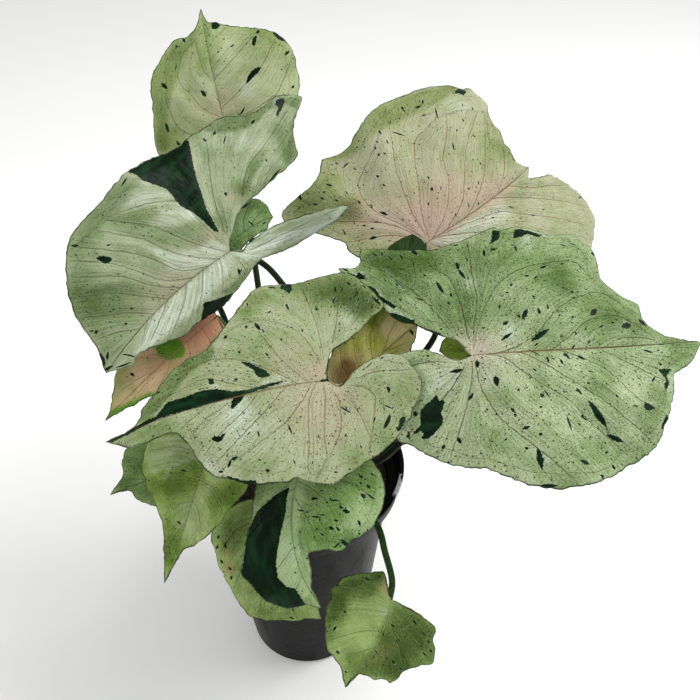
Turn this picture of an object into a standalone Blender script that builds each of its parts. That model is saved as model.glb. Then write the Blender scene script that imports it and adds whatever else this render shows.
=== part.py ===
"""Potted green splash syngonium: a black nursery pot, its soil, three short stems,
fifteen leaf blades and their stalks.

Lengths are metres, unless a name or comment says millimetres, and +Z is up. The origin is the
centre of the pot's underside. Each blade is a gently curved sheet. Its margin is set out as it is
seen from one viewpoint in front of the plant and 40 degrees above it: a point (x, y) is a point of
the 700 x 700 view, and the sight line through it meets the curved sheet in one place.
"""
import bmesh
import bpy
import math
from mathutils import Vector

MM = 0.001

# Pot
POT_HEIGHT = 0.160
POT_RIM_RADIUS = 0.0625
POT_BEAD_HEIGHT = 0.003
POT_BEAD_SLOPE = 0.001
POT_BEAD_DEPTH = 0.0012
POT_COLLAR_HEIGHT = 0.013
POT_COLLAR_TAPER = 0.0026
POT_SHOULDER_RADIUS = 0.0545
POT_SHOULDER_FALL = 0.0005
POT_BASE_RADIUS = 0.0385
POT_FOOT_HEIGHT = 0.002
POT_FOOT_INSET = 0.001
POT_WALL = 0.0014
POT_FLOOR = 0.0020
POT_SEGMENTS = 64
DRAIN_HOLES = 6
DRAIN_HOLE_RADIUS = 0.0045
DRAIN_HOLE_RING = 0.026

# Soil
SOIL_TOP = 0.145
SOIL_DOME = 0.003
SOIL_SIDE_GAP = 0.00036
SOIL_FOOT_HEIGHT = 0.0025
SOIL_FOOT_INSET = 0.0013
SOIL_STEPS = 5
CLEARANCE = 0.0003

# Blades and stalks
BLADE_THICKNESS = 0.0009
LOBE_SHARE = 0.28
CREASE_ROUNDING = 2.0
MERGE_DISTANCE = 0.00002
STALK_RADIUS = 0.0020
STALK_TIP_RADIUS = 0.0018
STALK_UPRIGHT = 0.006
STALK_RISE = 0.022
STALK_LEAN = 0.15

# Viewpoint that the margins are set out from
EYE = Vector((0.0300, -0.3480, 0.5399))
VIEW_PITCH = math.radians(40.0)
VIEW_FOCAL = 850.0
VIEW_MIDDLE = 350.0
SEARCH_DEPTH = 0.06
SEARCH_STEP = 0.001
SEARCH_HALVINGS = 24
FORWARD = Vector((0.0, math.cos(VIEW_PITCH), -math.sin(VIEW_PITCH)))
UPWARD = Vector((0.0, math.sin(VIEW_PITCH), math.cos(VIEW_PITCH)))


def sight_line(x, y):
    """Direction of the sight line through a point of the view, one metre deep."""
    across = (x - VIEW_MIDDLE) / VIEW_FOCAL
    down = (y - VIEW_MIDDLE) / VIEW_FOCAL
    return FORWARD + across * Vector((1.0, 0.0, 0.0)) - down * UPWARD


def sight(x, y, depth):
    """Point of space at a depth behind a point of the view."""
    return EYE + depth * sight_line(x, y)


# Each leaf: where its blade joins the stalk (x, y of the view, depth in metres), where its tip is
# seen, the way its upper side faces, and its shape in millimetres. "left" and "right" are the
# margins from the joint to the tip, as looked at along the midrib with the upper side up.
LEAVES = {
    "front": dict(
        joint=(327, 380, 0.420), tip=(106, 443), faces=(0.09, -0.40, 0.91),
        arch=11, bow=0, cup=0.0036, lobes=0.008, fold=0.03, ripple=1.6, ripples=9, columns=28,
        left=[(334, 385), (343, 384), (357, 368), (371, 359), (385, 354), (397, 354), (406, 358), (413, 366),
              (420, 375), (422, 388), (415, 406), (408, 421), (391, 444), (363, 464), (339, 481), (328, 485),
              (306, 481), (297, 478), (286, 482), (252, 484), (225, 478), (216, 477), (202, 466), (192, 450),
              (185, 441), (179, 435), (171, 433), (156, 438), (134, 447), (118, 445)],
        right=[(327, 373), (329, 362), (332, 351), (352, 337), (371, 318), (379, 312), (384, 307), (380, 298),
               (365, 284), (352, 275), (341, 273), (321, 277), (301, 282), (274, 285), (257, 288), (245, 299),
               (232, 317), (214, 340), (202, 352), (183, 362), (172, 370), (160, 387), (150, 399), (142, 410),
               (137, 423), (126, 432), (114, 440)],
        ribs=dict(left=([(350, 390), (377, 392), (400, 387)], 9, 15),
                  right=([(323, 350), (334, 322), (351, 300)], 8, 12)),
        route=[(330, 420, 0.452), (318, 450, 0.472)], root=(0.001, -0.021),
    ),
    "right_large": dict(
        joint=(471, 354, 0.425), tip=(700, 343), faces=(0.08, -0.38, 0.92),
        arch=10, bow=-5, cup=0.0022, lobes=-0.001, fold=0.06, ripple=1.8, ripples=11, columns=28,
        bumps=[(-30, -38, 30, -14)],
        left=[(456, 340), (440, 336), (415, 325), (393, 318), (365, 287), (349, 276), (339, 268), (355, 268),
              (360, 262), (361, 251), (375, 249), (400, 250), (432, 250), (448, 245), (470, 237), (484, 231),
              (495, 227), (500, 230), (515, 227), (528, 228), (544, 234), (571, 234), (580, 241), (592, 250),
              (597, 263), (600, 277), (606, 285), (620, 295), (638, 305), (642, 317), (650, 326), (665, 335),
              (680, 339)],
        right=[(465, 358), (457, 360), (445, 356), (426, 350), (405, 352), (395, 358), (388, 375), (385, 395),
               (390, 420), (400, 437), (409, 445), (417, 448), (432, 457), (450, 464), (468, 468), (485, 468),
               (493, 471), (508, 477), (526, 484), (558, 489), (573, 487), (593, 484), (615, 475), (629, 466),
               (645, 457), (658, 444), (663, 430), (668, 419), (674, 390), (674, 375), (680, 370),
               (691, 362)],
        ribs=dict(left=([(450, 326), (423, 300), (396, 279), (378, 268)], 8, 14),
                  right=([(455, 367), (430, 384), (410, 404)], 8, 15)),
        route=[(440, 400, 0.440), (403, 440, 0.449), (374, 462, 0.460)], root=(0.021, 0.000),
    ),
    "rear_right": dict(
        joint=(426, 243, 0.500), tip=(527, 168), faces=(0.35, -0.60, 0.72),
        arch=8, bow=-2, cup=0.0024, lobes=0.0, fold=0.05, ripple=2.0, ripples=10, columns=26,
        bumps=[(-35, 55, 35, -10)],
        left=[(412, 250), (392, 257), (372, 260), (358, 257), (350, 252), (345, 243), (337, 240), (319, 234),
              (295, 229), (283, 220), (284, 210), (294, 200), (312, 185), (320, 172), (322, 160), (337, 155),
              (350, 145), (357, 131), (371, 112), (384, 103), (400, 97), (420, 89), (440, 86), (452, 86),
              (462, 89), (470, 88), (475, 93), (487, 103), (488, 113), (493, 124), (500, 131), (504, 142),
              (511, 150), (514, 160), (522, 165)],
        right=[(428, 255), (445, 270), (480, 285), (520, 290), (560, 280), (585, 262), (592, 245), (594, 232),
               (595, 219), (590, 208), (583, 197), (573, 188), (562, 181), (551, 175), (538, 177),
               (529, 178)],
        ribs=dict(left=([(390, 227), (350, 217), (315, 211)], 10, 15),
                  right=([(460, 254), (510, 262), (550, 262)], 5, 8)),
        route=[(431, 290, 0.505), (431, 343, 0.508)], root=(0.017, 0.012),
    ),
    "rear_left": dict(
        joint=(226, 128, 0.520), tip=(201, 9), faces=(0.0, -0.90, 0.44),
        arch=7, bow=0, cup=0.0030, lobes=0.0, fold=0.06, ripple=1.2, ripples=8, columns=14,
        left=[(222, 140), (212, 158), (190, 170), (168, 165), (158, 153), (154, 135), (153, 110), (151, 80),
              (158, 64), (167, 49), (176, 39), (187, 37), (196, 26)],
        right=[(235, 140), (250, 152), (270, 155), (288, 140), (296, 115), (298, 93), (300, 83), (297, 70),
               (293, 52), (285, 40), (268, 30), (240, 27), (216, 23), (207, 21)],
        route=[(246, 210, 0.546), (257, 278, 0.518)], root=(-0.013, 0.017),
    ),
    "left_silver": dict(
        joint=(231, 251, 0.460), tip=(106, 373), faces=(0.42, -0.67, 0.61),
        arch=3, bow=-5, cup=0.0012, lobes=0.0, fold=0.05, ripple=1.5, ripples=9, columns=28,
        roll=(7.0, 0.030, 14.0), bumps=[(-62, 28, 26, 30)],
        left=[(242, 251), (248, 244), (263, 232), (288, 220), (330, 208), (348, 206), (335, 221), (317, 232),
              (290, 248), (260, 260), (248, 276), (243, 282), (223, 306), (196, 324), (185, 335), (153, 347),
              (136, 356), (134, 364), (116, 370)],
        right=[(230, 243), (233, 230), (239, 212), (246, 203), (260, 192), (276, 177), (289, 166), (298, 154),
               (294, 140), (293, 120), (299, 108), (300, 96), (277, 96), (262, 107), (247, 115), (222, 117),
               (209, 125), (188, 138), (175, 149), (150, 159), (127, 172), (115, 183), (104, 198), (91, 212),
               (79, 225), (70, 238), (66, 255), (66, 275), (68, 292), (75, 315), (85, 330), (93, 342),
               (98, 350), (103, 366)],
        ribs=dict(left=([(262, 247), (300, 228), (336, 210)], 5, 10),
                  right=([(228, 232), (235, 205), (247, 167), (272, 130)], 10, 17)),
        route=[(262, 263, 0.489), (284, 286, 0.493), (302, 313, 0.498)], root=(-0.004, 0.021),
    ),
    "small_rear": dict(
        joint=(225, 247, 0.488), tip=(273, 217), faces=(0.10, -0.60, 0.80),
        arch=2, bow=1, cup=0.004, lobes=0.0, fold=0.05, ripple=0.6, ripples=7, columns=9,
        left=[(217, 236), (218, 218), (230, 203), (243, 199), (252, 198), (259, 200), (267, 206), (270, 212)],
        right=[(232, 256), (240, 251), (248, 242), (256, 235), (267, 229), (269, 223)],
        route=[(215, 292, 0.506), (227, 325, 0.518)], root=(-0.018, 0.010),
    ),
    "small_right": dict(
        joint=(402, 290, 0.484), tip=(412, 234), faces=(0.0, -0.60, 0.80),
        arch=2, bow=0, cup=0.004, lobes=0.0, fold=0.06, ripple=0.6, ripples=6, columns=9,
        left=[(392, 285), (383, 272), (384, 255), (391, 245), (401, 239)],
        right=[(412, 287), (424, 278), (430, 262), (425, 245), (420, 238)],
        route=[(385, 360, 0.496)], root=(0.013, 0.020),
    ),
    "inner_right": dict(
        joint=(492, 352, 0.462), tip=(439, 351), faces=(0.0, -0.50, 0.86),
        arch=2, bow=0, cup=0.004, lobes=0.0, fold=0.06, ripple=0.5, ripples=6, columns=9,
        left=[(488, 362), (475, 370), (458, 366), (445, 356)],
        right=[(488, 345), (475, 338), (456, 338), (444, 339)],
        route=[(450, 420, 0.478)], root=(0.021, -0.008),
    ),
    "young_centre": dict(
        joint=(338, 392, 0.452), tip=(418, 323), faces=(0.10, -0.60, 0.79),
        arch=3, bow=0, cup=0.003, lobes=0.0, fold=0.10, ripple=0.8, ripples=7, columns=12,
        left=[(328, 385), (328, 365), (337, 342), (352, 320), (375, 303), (400, 306)],
        right=[(348, 402), (370, 398), (395, 380), (410, 352), (416, 335)],
        route=[(330, 428, 0.472)], root=(0.005, -0.006),
    ),
    "young_left": dict(
        joint=(217, 316, 0.480), tip=(105, 421), faces=(0.10, -0.50, 0.86),
        arch=4, bow=0, cup=0.003, lobes=0.0, fold=0.08, ripple=0.8, ripples=7, columns=12,
        left=[(223, 328), (233, 340), (229, 356), (206, 374), (178, 388), (149, 397), (135, 404), (122, 411)],
        right=[(210, 306), (195, 298), (170, 304), (142, 325), (122, 350), (116, 372), (114, 387),
               (110, 409)],
        route=[(236, 345, 0.500)], root=(-0.019, 0.002),
    ),
    "lower_left": dict(
        joint=(213, 438, 0.428), tip=(165, 583), faces=(-0.10, -0.70, 0.70),
        arch=6, bow=2, cup=0.003, lobes=0.0, fold=0.05, ripple=1.2, ripples=8, columns=14,
        left=[(225, 428), (243, 435), (257, 453), (254, 475), (244, 493), (234, 504), (228, 511), (221, 522),
              (210, 533), (201, 541), (183, 551), (176, 562), (170, 573)],
        right=[(200, 426), (178, 421), (156, 430), (145, 450), (142, 470), (146, 484), (154, 500), (158, 511),
               (163, 529), (164, 549), (164, 569)],
        route=[(250, 440, 0.452)], root=(-0.014, -0.012),
    ),
    "far_left": dict(
        joint=(205, 462, 0.448), tip=(110, 495), faces=(-0.20, -0.60, 0.77),
        arch=4, bow=0, cup=0.003, lobes=0.0, fold=0.05, ripple=0.8, ripples=7, columns=12,
        left=[(208, 478), (198, 500), (180, 512), (165, 510), (152, 505), (138, 500), (130, 491), (120, 492)],
        right=[(200, 446), (182, 434), (160, 433), (145, 440), (126, 449), (122, 462), (123, 475),
               (118, 484)],
        route=[(245, 465, 0.468)], root=(-0.020, -0.006),
    ),
    "lower_centre": dict(
        joint=(300, 470, 0.430), tip=(322, 608), faces=(0.05, -0.75, 0.66),
        arch=6, bow=-9, cup=0.003, lobes=0.0, fold=-0.08, ripple=1.0, ripples=8, columns=16,
        left=[(312, 456), (335, 448), (358, 452), (372, 461), (377, 467), (382, 478), (385, 492), (383, 507),
              (378, 518), (372, 527), (363, 535), (353, 540), (346, 547), (339, 552), (328, 550), (312, 552),
              (308, 556), (311, 567), (312, 586), (316, 597)],
        right=[(290, 459), (273, 461), (261, 472), (256, 486), (253, 502), (252, 516), (247, 535), (244, 551),
               (241, 572), (246, 580), (254, 589), (264, 599), (275, 605), (289, 609), (304, 605)],
        route=[(303, 463, 0.462)], root=(-0.004, -0.021),
    ),
    "under_front": dict(
        joint=(262, 500, 0.464), tip=(323, 619), faces=(-0.10, -0.75, 0.65),
        arch=4, bow=0, cup=0.002, lobes=0.0, fold=0.04, ripple=1.0, ripples=8, columns=14,
        left=[(272, 492), (288, 506), (301, 530), (308, 560), (311, 585), (317, 604)],
        right=[(250, 499), (238, 504), (226, 511), (214, 524), (211, 537), (215, 551), (218, 564), (225, 578),
               (234, 595), (243, 609), (254, 618), (270, 620), (290, 621), (308, 619)],
        route=[(272, 478, 0.480)], root=(-0.010, -0.016),
    ),
    "trailing_right": dict(
        joint=(391, 600, 0.456), tip=(345, 687), faces=(0.15, -0.70, 0.70),
        arch=4, bow=3.5, cup=0.001, lobes=0.0, fold=-0.12, ripple=1.0, ripples=8, columns=14,
        left=[(397, 602), (406, 607), (417, 613), (427, 620), (436, 629), (433, 640), (435, 649), (434, 660),
              (430, 665), (421, 665), (410, 669), (402, 673), (398, 679), (390, 683), (386, 680), (374, 679),
              (364, 675), (358, 674), (351, 680)],
        right=[(388, 590), (384, 573), (375, 572), (359, 574), (343, 577), (339, 583), (332, 589), (331, 599),
               (326, 610), (325, 626), (326, 639), (328, 650), (334, 658), (340, 666)],
        route=[(392, 580, 0.462), (385, 552, 0.464), (378, 527, 0.466), (360, 500, 0.474)],
        root=(0.016, -0.014),
    ),
}

STEMS = {"stem_rear": (-0.004, 0.013), "stem_right": (0.013, -0.001), "stem_front": (-0.008, -0.009)}
STEM_RADIUS = 0.0035
STEM_HEIGHT = 0.016

COLOURS = {
    "front": (0.60, 0.56, 0.38), "right_large": (0.28, 0.40, 0.17), "rear_right": (0.58, 0.49, 0.36),
    "rear_left": (0.42, 0.52, 0.24), "left_silver": (0.48, 0.54, 0.40), "small_rear": (0.16, 0.28, 0.12),
    "small_right": (0.08, 0.16, 0.06), "inner_right": (0.08, 0.17, 0.06), "young_centre": (0.32, 0.28, 0.10),
    "young_left": (0.62, 0.32, 0.24), "lower_left": (0.18, 0.30, 0.07), "far_left": (0.10, 0.20, 0.06),
    "lower_centre": (0.24, 0.40, 0.14), "under_front": (0.24, 0.32, 0.09),
    "trailing_right": (0.20, 0.33, 0.09),
}


class Sheet:
    """The curved sheet that a blade lies in, with its own frame: along, across and normal."""

    def __init__(self, leaf):
        self.leaf = leaf
        self.origin = sight(*leaf["joint"])
        self.normal = Vector(leaf["faces"]).normalized()
        line = sight_line(*leaf["tip"])
        depth = (self.origin - EYE).dot(self.normal) / line.dot(self.normal)
        reach = EYE + depth * line - self.origin
        self.length = reach.length / MM
        self.along = reach.normalized()
        self.across = self.normal.cross(self.along)

    def height(self, s, t):
        """Height of the sheet over its plane, all in millimetres."""
        leaf = self.leaf
        x = s / self.length
        side = abs(t)
        crease = math.sqrt(side * side + CREASE_ROUNDING) - math.sqrt(CREASE_ROUNDING)
        high = leaf["fold"] * crease - leaf["cup"] * t * t
        if s > 0:
            high += 4 * leaf["arch"] * x * (1 - x)
        else:
            high += 4 * leaf["arch"] * x + leaf["lobes"] * s * s
        reach = min(1.2, math.hypot(s, t) / (0.6 * self.length))
        high += leaf["ripple"] * reach ** 3 * math.sin(leaf["ripples"] * math.atan2(t, s) + 0.8)
        for at_s, at_t, size, rise in leaf.get("bumps", ()):
            high += rise * math.exp(-((s - at_s) ** 2 + (t - at_t) ** 2) / size ** 2)
        if "roll" in leaf and t > leaf["roll"][0]:
            start, rate, most = leaf["roll"]
            drop = rate * (t - start) ** 2
            high -= most * drop / (most + drop) * 2
        return high

    def point(self, s, t):
        """Point of space for a place on the sheet, given in millimetres."""
        flat = self.origin + MM * (s * self.along + t * self.across)
        return flat + MM * self.height(s, t) * self.normal

    def place(self, x, y):
        """Place on the sheet, in millimetres, where the sight line through (x, y) first meets it."""
        line = sight_line(x, y)

        def miss(depth):
            offset = (EYE + depth * line - self.origin) / MM
            s, t = offset.dot(self.along), offset.dot(self.across)
            return offset.dot(self.normal) - self.height(s, t), s, t

        middle = (self.origin - EYE).dot(self.normal) / line.dot(self.normal)
        near = middle - SEARCH_DEPTH
        best = miss(near)
        ahead = best[0] > 0
        for _ in range(round(2 * SEARCH_DEPTH / SEARCH_STEP)):
            far = near + SEARCH_STEP
            value = miss(far)
            if abs(value[0]) < abs(best[0]):
                best = value
            if (value[0] > 0) != ahead:
                for _ in range(SEARCH_HALVINGS):
                    half = 0.5 * (near + far)
                    if (miss(half)[0] > 0) == ahead:
                        near = half
                    else:
                        far = half
                best = miss(far)
                break
            near = far
        return best[1], best[2]

    def midrib(self, x):
        """Place on the midrib, x running from 0 at the joint to 1 at the tip."""
        return x * self.length, 4 * self.leaf["bow"] * x * (1 - x)


def spread(points, count, first=0.0):
    """Evenly spaced points along a polyline, moved onto its corners where one is near."""
    lengths = [0.0]
    for a, b in zip(points, points[1:]):
        lengths.append(lengths[-1] + math.dist(a, b))
    result = []
    for k in range(count):
        want = lengths[-1] * (first + (1 - first) * k / (count - 1))
        i = max(j for j in range(len(points) - 1) if lengths[j] <= want + 1e-9)
        share = min(1.0, (want - lengths[i]) / max(1e-9, lengths[i + 1] - lengths[i]))
        a, b = points[i], points[i + 1]
        result.append((a[0] + (b[0] - a[0]) * share, a[1] + (b[1] - a[1]) * share))
    for corner, length in zip(points[1:-1], lengths[1:-1]):
        k = round((length / lengths[-1] - first) / (1 - first) * (count - 1))
        if 0 < k < count - 1:
            result[k] = corner
    return result


def rays(sheet, side, columns):
    """Rays of one half-sheet, as (inner end, outer end). The outer ends follow the margin from the
    joint to the tip. The inner ends follow the lobe's rib out and back, where there is one, and then
    the midrib."""
    margin = [(0.0, 0.0)] + [sheet.place(*p) for p in sheet.leaf[side]] + [(sheet.length, 0.0)]
    if "ribs" not in sheet.leaf:
        shares = [k / (columns - 1) for k in range(columns)]
        inner = [sheet.midrib(max(0.0, (share - 0.35) / 0.65) ** 1.2) for share in shares]
        return list(zip(inner, spread(margin, columns, 0.02)))
    seen, far, back = sheet.leaf["ribs"][side]
    lobe = round(LOBE_SHARE * columns)
    rib = spread([(0.0, 0.0)] + [sheet.place(*p) for p in seen], lobe + 1)
    rest = columns - 2 * lobe
    result = list(zip(rib, spread(margin[:far + 2], lobe + 1)))
    result += list(zip(rib[::-1], spread(margin[far + 1:back + 2], lobe + 1)))[1:]
    inner = [sheet.midrib((k / rest) ** 1.1) for k in range(rest + 1)]
    return result + list(zip(inner, spread(margin[back + 1:], rest + 1)))[1:]


def blade_mesh(name, sheet, columns, rows):
    """Half-sheets of rays from the ribs to the margin, joined along the midrib."""
    bm = bmesh.new()
    for side in ("left", "right"):
        grid = []
        for base, end in rays(sheet, side, columns):
            line = []
            for j in range(rows + 1):
                f = j / rows
                s, t = base[0] + (end[0] - base[0]) * f, base[1] + (end[1] - base[1]) * f
                line.append(bm.verts.new(sheet.point(s, t)))
            grid.append(line)
        for a, b in zip(grid, grid[1:]):
            for j in range(rows):
                face = [a[j], a[j + 1], b[j + 1], b[j]]
                bm.faces.new(face if side == "left" else face[::-1])
    bmesh.ops.remove_doubles(bm, verts=bm.verts, dist=MERGE_DISTANCE)
    bmesh.ops.dissolve_degenerate(bm, edges=bm.edges, dist=MERGE_DISTANCE)
    bmesh.ops.recalc_face_normals(bm, faces=bm.faces)
    mesh = bpy.data.meshes.new(name)
    bm.to_mesh(mesh)
    bm.free()
    return mesh


def material(name, colour, roughness):
    made = bpy.data.materials.new(name)
    made.use_nodes = True
    shader = made.node_tree.nodes["Principled BSDF"]
    shader.inputs["Base Color"].default_value = (*colour, 1.0)
    shader.inputs["Roughness"].default_value = roughness
    shader.inputs["Metallic"].default_value = 0.0
    return made


def add(name, mesh, look):
    body = bpy.data.objects.new(name, mesh)
    mesh.materials.clear()
    mesh.materials.append(look)
    home.objects.link(body)
    return body


def make_blade(name, leaf):
    sheet = Sheet(leaf)
    rows = 5 if leaf["columns"] > 12 else 3
    mesh = blade_mesh("blade_" + name, sheet, leaf["columns"], rows)
    body = add("blade_" + name, mesh, material("leaf " + name, COLOURS[name], 0.42))
    for face in mesh.polygons:
        face.use_smooth = True
    thick = body.modifiers.new("Thickness", "SOLIDIFY")
    thick.thickness = BLADE_THICKNESS
    thick.offset = 0.0
    return sheet


def through(points, steps):
    """Smooth curve through the points (Catmull-Rom)."""
    ends = [2 * points[0] - points[1]] + points + [2 * points[-1] - points[-2]]
    result = []
    for i in range(1, len(ends) - 2):
        p0, p1, p2, p3 = ends[i - 1:i + 3]
        for k in range(steps):
            f = k / steps
            result.append(0.5 * (2 * p1 + (p2 - p0) * f + (2 * p0 - 5 * p1 + 4 * p2 - p3) * f ** 2
                                 + (3 * p1 - p0 - 3 * p2 + p3) * f ** 3))
    return result + [points[-1]]


def stalk_path(leaf, sheet):
    """Middle line of a stalk, from the soil to just under the blade's joint."""
    foot = Vector((*leaf["root"], soil_height(leaf["root"]) + 2 * CLEARANCE))
    via = [sight(*p) for p in reversed(leaf["route"])]
    rise = foot + Vector((STALK_LEAN * (via[0].x - foot.x), STALK_LEAN * (via[0].y - foot.y), STALK_RISE))
    joint = sheet.point(0.0, 0.0)
    ahead = sheet.point(1.5, 0.0) - sheet.point(-1.5, 0.0)
    aside = sheet.point(0.0, 1.5) - sheet.point(0.0, -1.5)
    under = ahead.cross(aside).normalized()
    last = (joint - via[-1]).normalized()
    lean = math.sqrt(max(0.0, 1.0 - last.dot(under) ** 2))
    end = joint - under * (0.5 * BLADE_THICKNESS + 1.5 * CLEARANCE + STALK_TIP_RADIUS * lean)
    return through([foot, foot + Vector((0.0, 0.0, STALK_UPRIGHT)), rise] + via + [end], 4)


def tube(name, path, radii, look, sides=2):
    curve = bpy.data.curves.new(name, "CURVE")
    curve.dimensions = "3D"
    curve.bevel_depth = 1.0
    curve.bevel_resolution = sides
    curve.use_fill_caps = True
    line = curve.splines.new("POLY")
    line.points.add(len(path) - 1)
    for point, at, radius in zip(line.points, path, radii):
        point.co = (*at, 1.0)
        point.radius = radius
    holder = bpy.data.objects.new(name + "_line", curve)
    home.objects.link(holder)
    bpy.context.view_layer.update()
    mesh = bpy.data.meshes.new_from_object(holder.evaluated_get(bpy.context.evaluated_depsgraph_get()))
    bpy.data.objects.remove(holder)
    bm = bmesh.new()
    bm.from_mesh(mesh)
    bmesh.ops.remove_doubles(bm, verts=bm.verts, dist=1e-6)
    bmesh.ops.recalc_face_normals(bm, faces=bm.faces)
    bm.to_mesh(mesh)
    bm.free()
    mesh.name = name
    return add(name, mesh, look)


def lathe(name, profile, look, segments=POT_SEGMENTS):
    """Body of revolution from a closed outline of (radius, height) points."""
    mesh = bpy.data.meshes.new(name)
    points = [(r, 0.0, z) for r, z in profile]
    mesh.from_pydata(points, [(i, (i + 1) % len(points)) for i in range(len(points))], [])
    body = add(name, mesh, look)
    turn = body.modifiers.new("Turn", "SCREW")
    turn.axis = "Z"
    turn.angle = 2 * math.pi
    turn.screw_offset = 0.0
    turn.steps = segments
    turn.render_steps = segments
    turn.use_merge_vertices = True
    turn.merge_threshold = 0.00001
    turn.use_normal_calculate = True
    return body


def soil_height(place):
    """Height of the soil's surface: a low dome."""
    return SOIL_TOP + SOIL_DOME * (1 - (math.hypot(*place) / POT_SHOULDER_RADIUS) ** 2)


def wall_radius(z):
    """Outer radius of the tapered wall under the collar."""
    shoulder = POT_HEIGHT - POT_COLLAR_HEIGHT
    return POT_BASE_RADIUS + (POT_SHOULDER_RADIUS - POT_BASE_RADIUS) * z / shoulder


def make_pot():
    black = material("black plastic", (0.018, 0.017, 0.019), 0.45)
    shoulder = POT_HEIGHT - POT_COLLAR_HEIGHT
    collar_top = POT_HEIGHT - POT_BEAD_HEIGHT - POT_BEAD_SLOPE
    collar_radius = POT_RIM_RADIUS - POT_BEAD_DEPTH
    collar_foot = POT_RIM_RADIUS - POT_COLLAR_TAPER
    floor_radius = wall_radius(POT_FLOOR) - POT_WALL - POT_FOOT_INSET
    bend = POT_FLOOR + POT_FOOT_HEIGHT
    outline = [
        (POT_RIM_RADIUS, POT_HEIGHT),
        (POT_RIM_RADIUS, POT_HEIGHT - POT_BEAD_HEIGHT),
        (collar_radius, collar_top),
        (collar_foot, shoulder),
        (POT_SHOULDER_RADIUS, shoulder - POT_SHOULDER_FALL),
        (wall_radius(POT_FOOT_HEIGHT), POT_FOOT_HEIGHT),
        (wall_radius(0.0) - POT_FOOT_INSET, 0.0),
        (0.0, 0.0),
        (0.0, POT_FLOOR),
        (floor_radius, POT_FLOOR),
        (wall_radius(bend) - POT_WALL, bend),
        (POT_SHOULDER_RADIUS - POT_WALL, shoulder + POT_WALL - POT_SHOULDER_FALL),
        (collar_foot - POT_WALL, shoulder + POT_WALL),
        (collar_radius - POT_WALL, collar_top),
        (collar_radius - POT_WALL, POT_HEIGHT),
    ]
    pot = lathe("pot", outline, black)
    holes = bpy.data.meshes.new("drain_cutter")
    bm = bmesh.new()
    for k in range(DRAIN_HOLES):
        turn = math.radians(30 + 360 * k / DRAIN_HOLES)
        made = bmesh.ops.create_cone(bm, cap_ends=True, segments=16, radius1=DRAIN_HOLE_RADIUS,
                                     radius2=DRAIN_HOLE_RADIUS, depth=0.02)
        move = Vector((DRAIN_HOLE_RING * math.cos(turn), DRAIN_HOLE_RING * math.sin(turn), 0.0))
        bmesh.ops.translate(bm, verts=made["verts"], vec=move)
    bm.to_mesh(holes)
    bm.free()
    cutter = bpy.data.objects.new("drain_cutter", holes)
    cutter.hide_render = True
    cutter.display_type = "WIRE"
    cutters.objects.link(cutter)
    cut = pot.modifiers.new("Drain holes", "BOOLEAN")
    cut.operation = "DIFFERENCE"
    cut.solver = "EXACT"
    cut.object = cutter
    return pot


def make_soil():
    brown = material("potting soil", (0.045, 0.030, 0.020), 0.95)
    inner = POT_WALL + SOIL_SIDE_GAP
    edge = wall_radius(SOIL_TOP) - inner
    low = POT_FLOOR + SOIL_FOOT_HEIGHT
    under = POT_FLOOR + CLEARANCE
    radii = [edge * k / SOIL_STEPS for k in range(SOIL_STEPS, -1, -1)]
    outline = [(radius, soil_height((radius, 0.0))) for radius in radii]
    outline += [(0.0, under), (wall_radius(POT_FLOOR) - inner - SOIL_FOOT_INSET, under),
                (wall_radius(low) - inner, low)]
    return lathe("soil", outline[::-1], brown)


def make_stem(name, place):
    """A short stem, standing on the soil and rounded off at its top."""
    foot = Vector((*place, soil_height(place) + CLEARANCE))
    heights = [0.0, 0.3, 0.7, 0.9, 0.97, 1.0]
    widths = [1.0, 0.96, 0.9, 0.78, 0.55, 0.25]
    path = [foot + Vector((0.0, 0.0, h * STEM_HEIGHT)) for h in heights]
    green = material("stem " + name, (0.09, 0.13, 0.04), 0.5)
    return tube(name, path, [STEM_RADIUS * w for w in widths], green)


for old in list(bpy.data.objects):
    bpy.data.objects.remove(old, do_unlink=True)
home = bpy.data.collections.new("Potted syngonium")
bpy.context.scene.collection.children.link(home)
cutters = bpy.data.collections.new("Cutters")
bpy.context.scene.collection.children.link(cutters)

make_pot()
make_soil()
for stem, where in STEMS.items():
    make_stem(stem, where)
for key, data in LEAVES.items():
    blade_sheet = make_blade(key, data)
    line = stalk_path(data, blade_sheet)
    thins = [STALK_RADIUS + (STALK_TIP_RADIUS - STALK_RADIUS) * i / (len(line) - 1) for i in range(len(line))]
    tube("stalk_" + key, line, thins, material("stalk " + key, (0.13, 0.20, 0.06), 0.45), 1)
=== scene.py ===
"""Potted green splash syngonium: the finished look of every piece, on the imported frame.

Lengths are metres, unless a name or comment says millimetres, and +Z is up. Each blade is a curved
sheet. Its margin, ribs, veins, splashes and tones are set out as seen from one viewpoint in front of
the plant and 40 degrees above it: x, y is a point of the 700 x 700 view, and the sight line through it
meets the sheet in one place. A place on a sheet is (s, t) in millimetres: s along the midrib from the
joint, t across it.
"""
import math
import random

import bmesh
import bpy
import numpy as np
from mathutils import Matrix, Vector, noise


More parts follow.
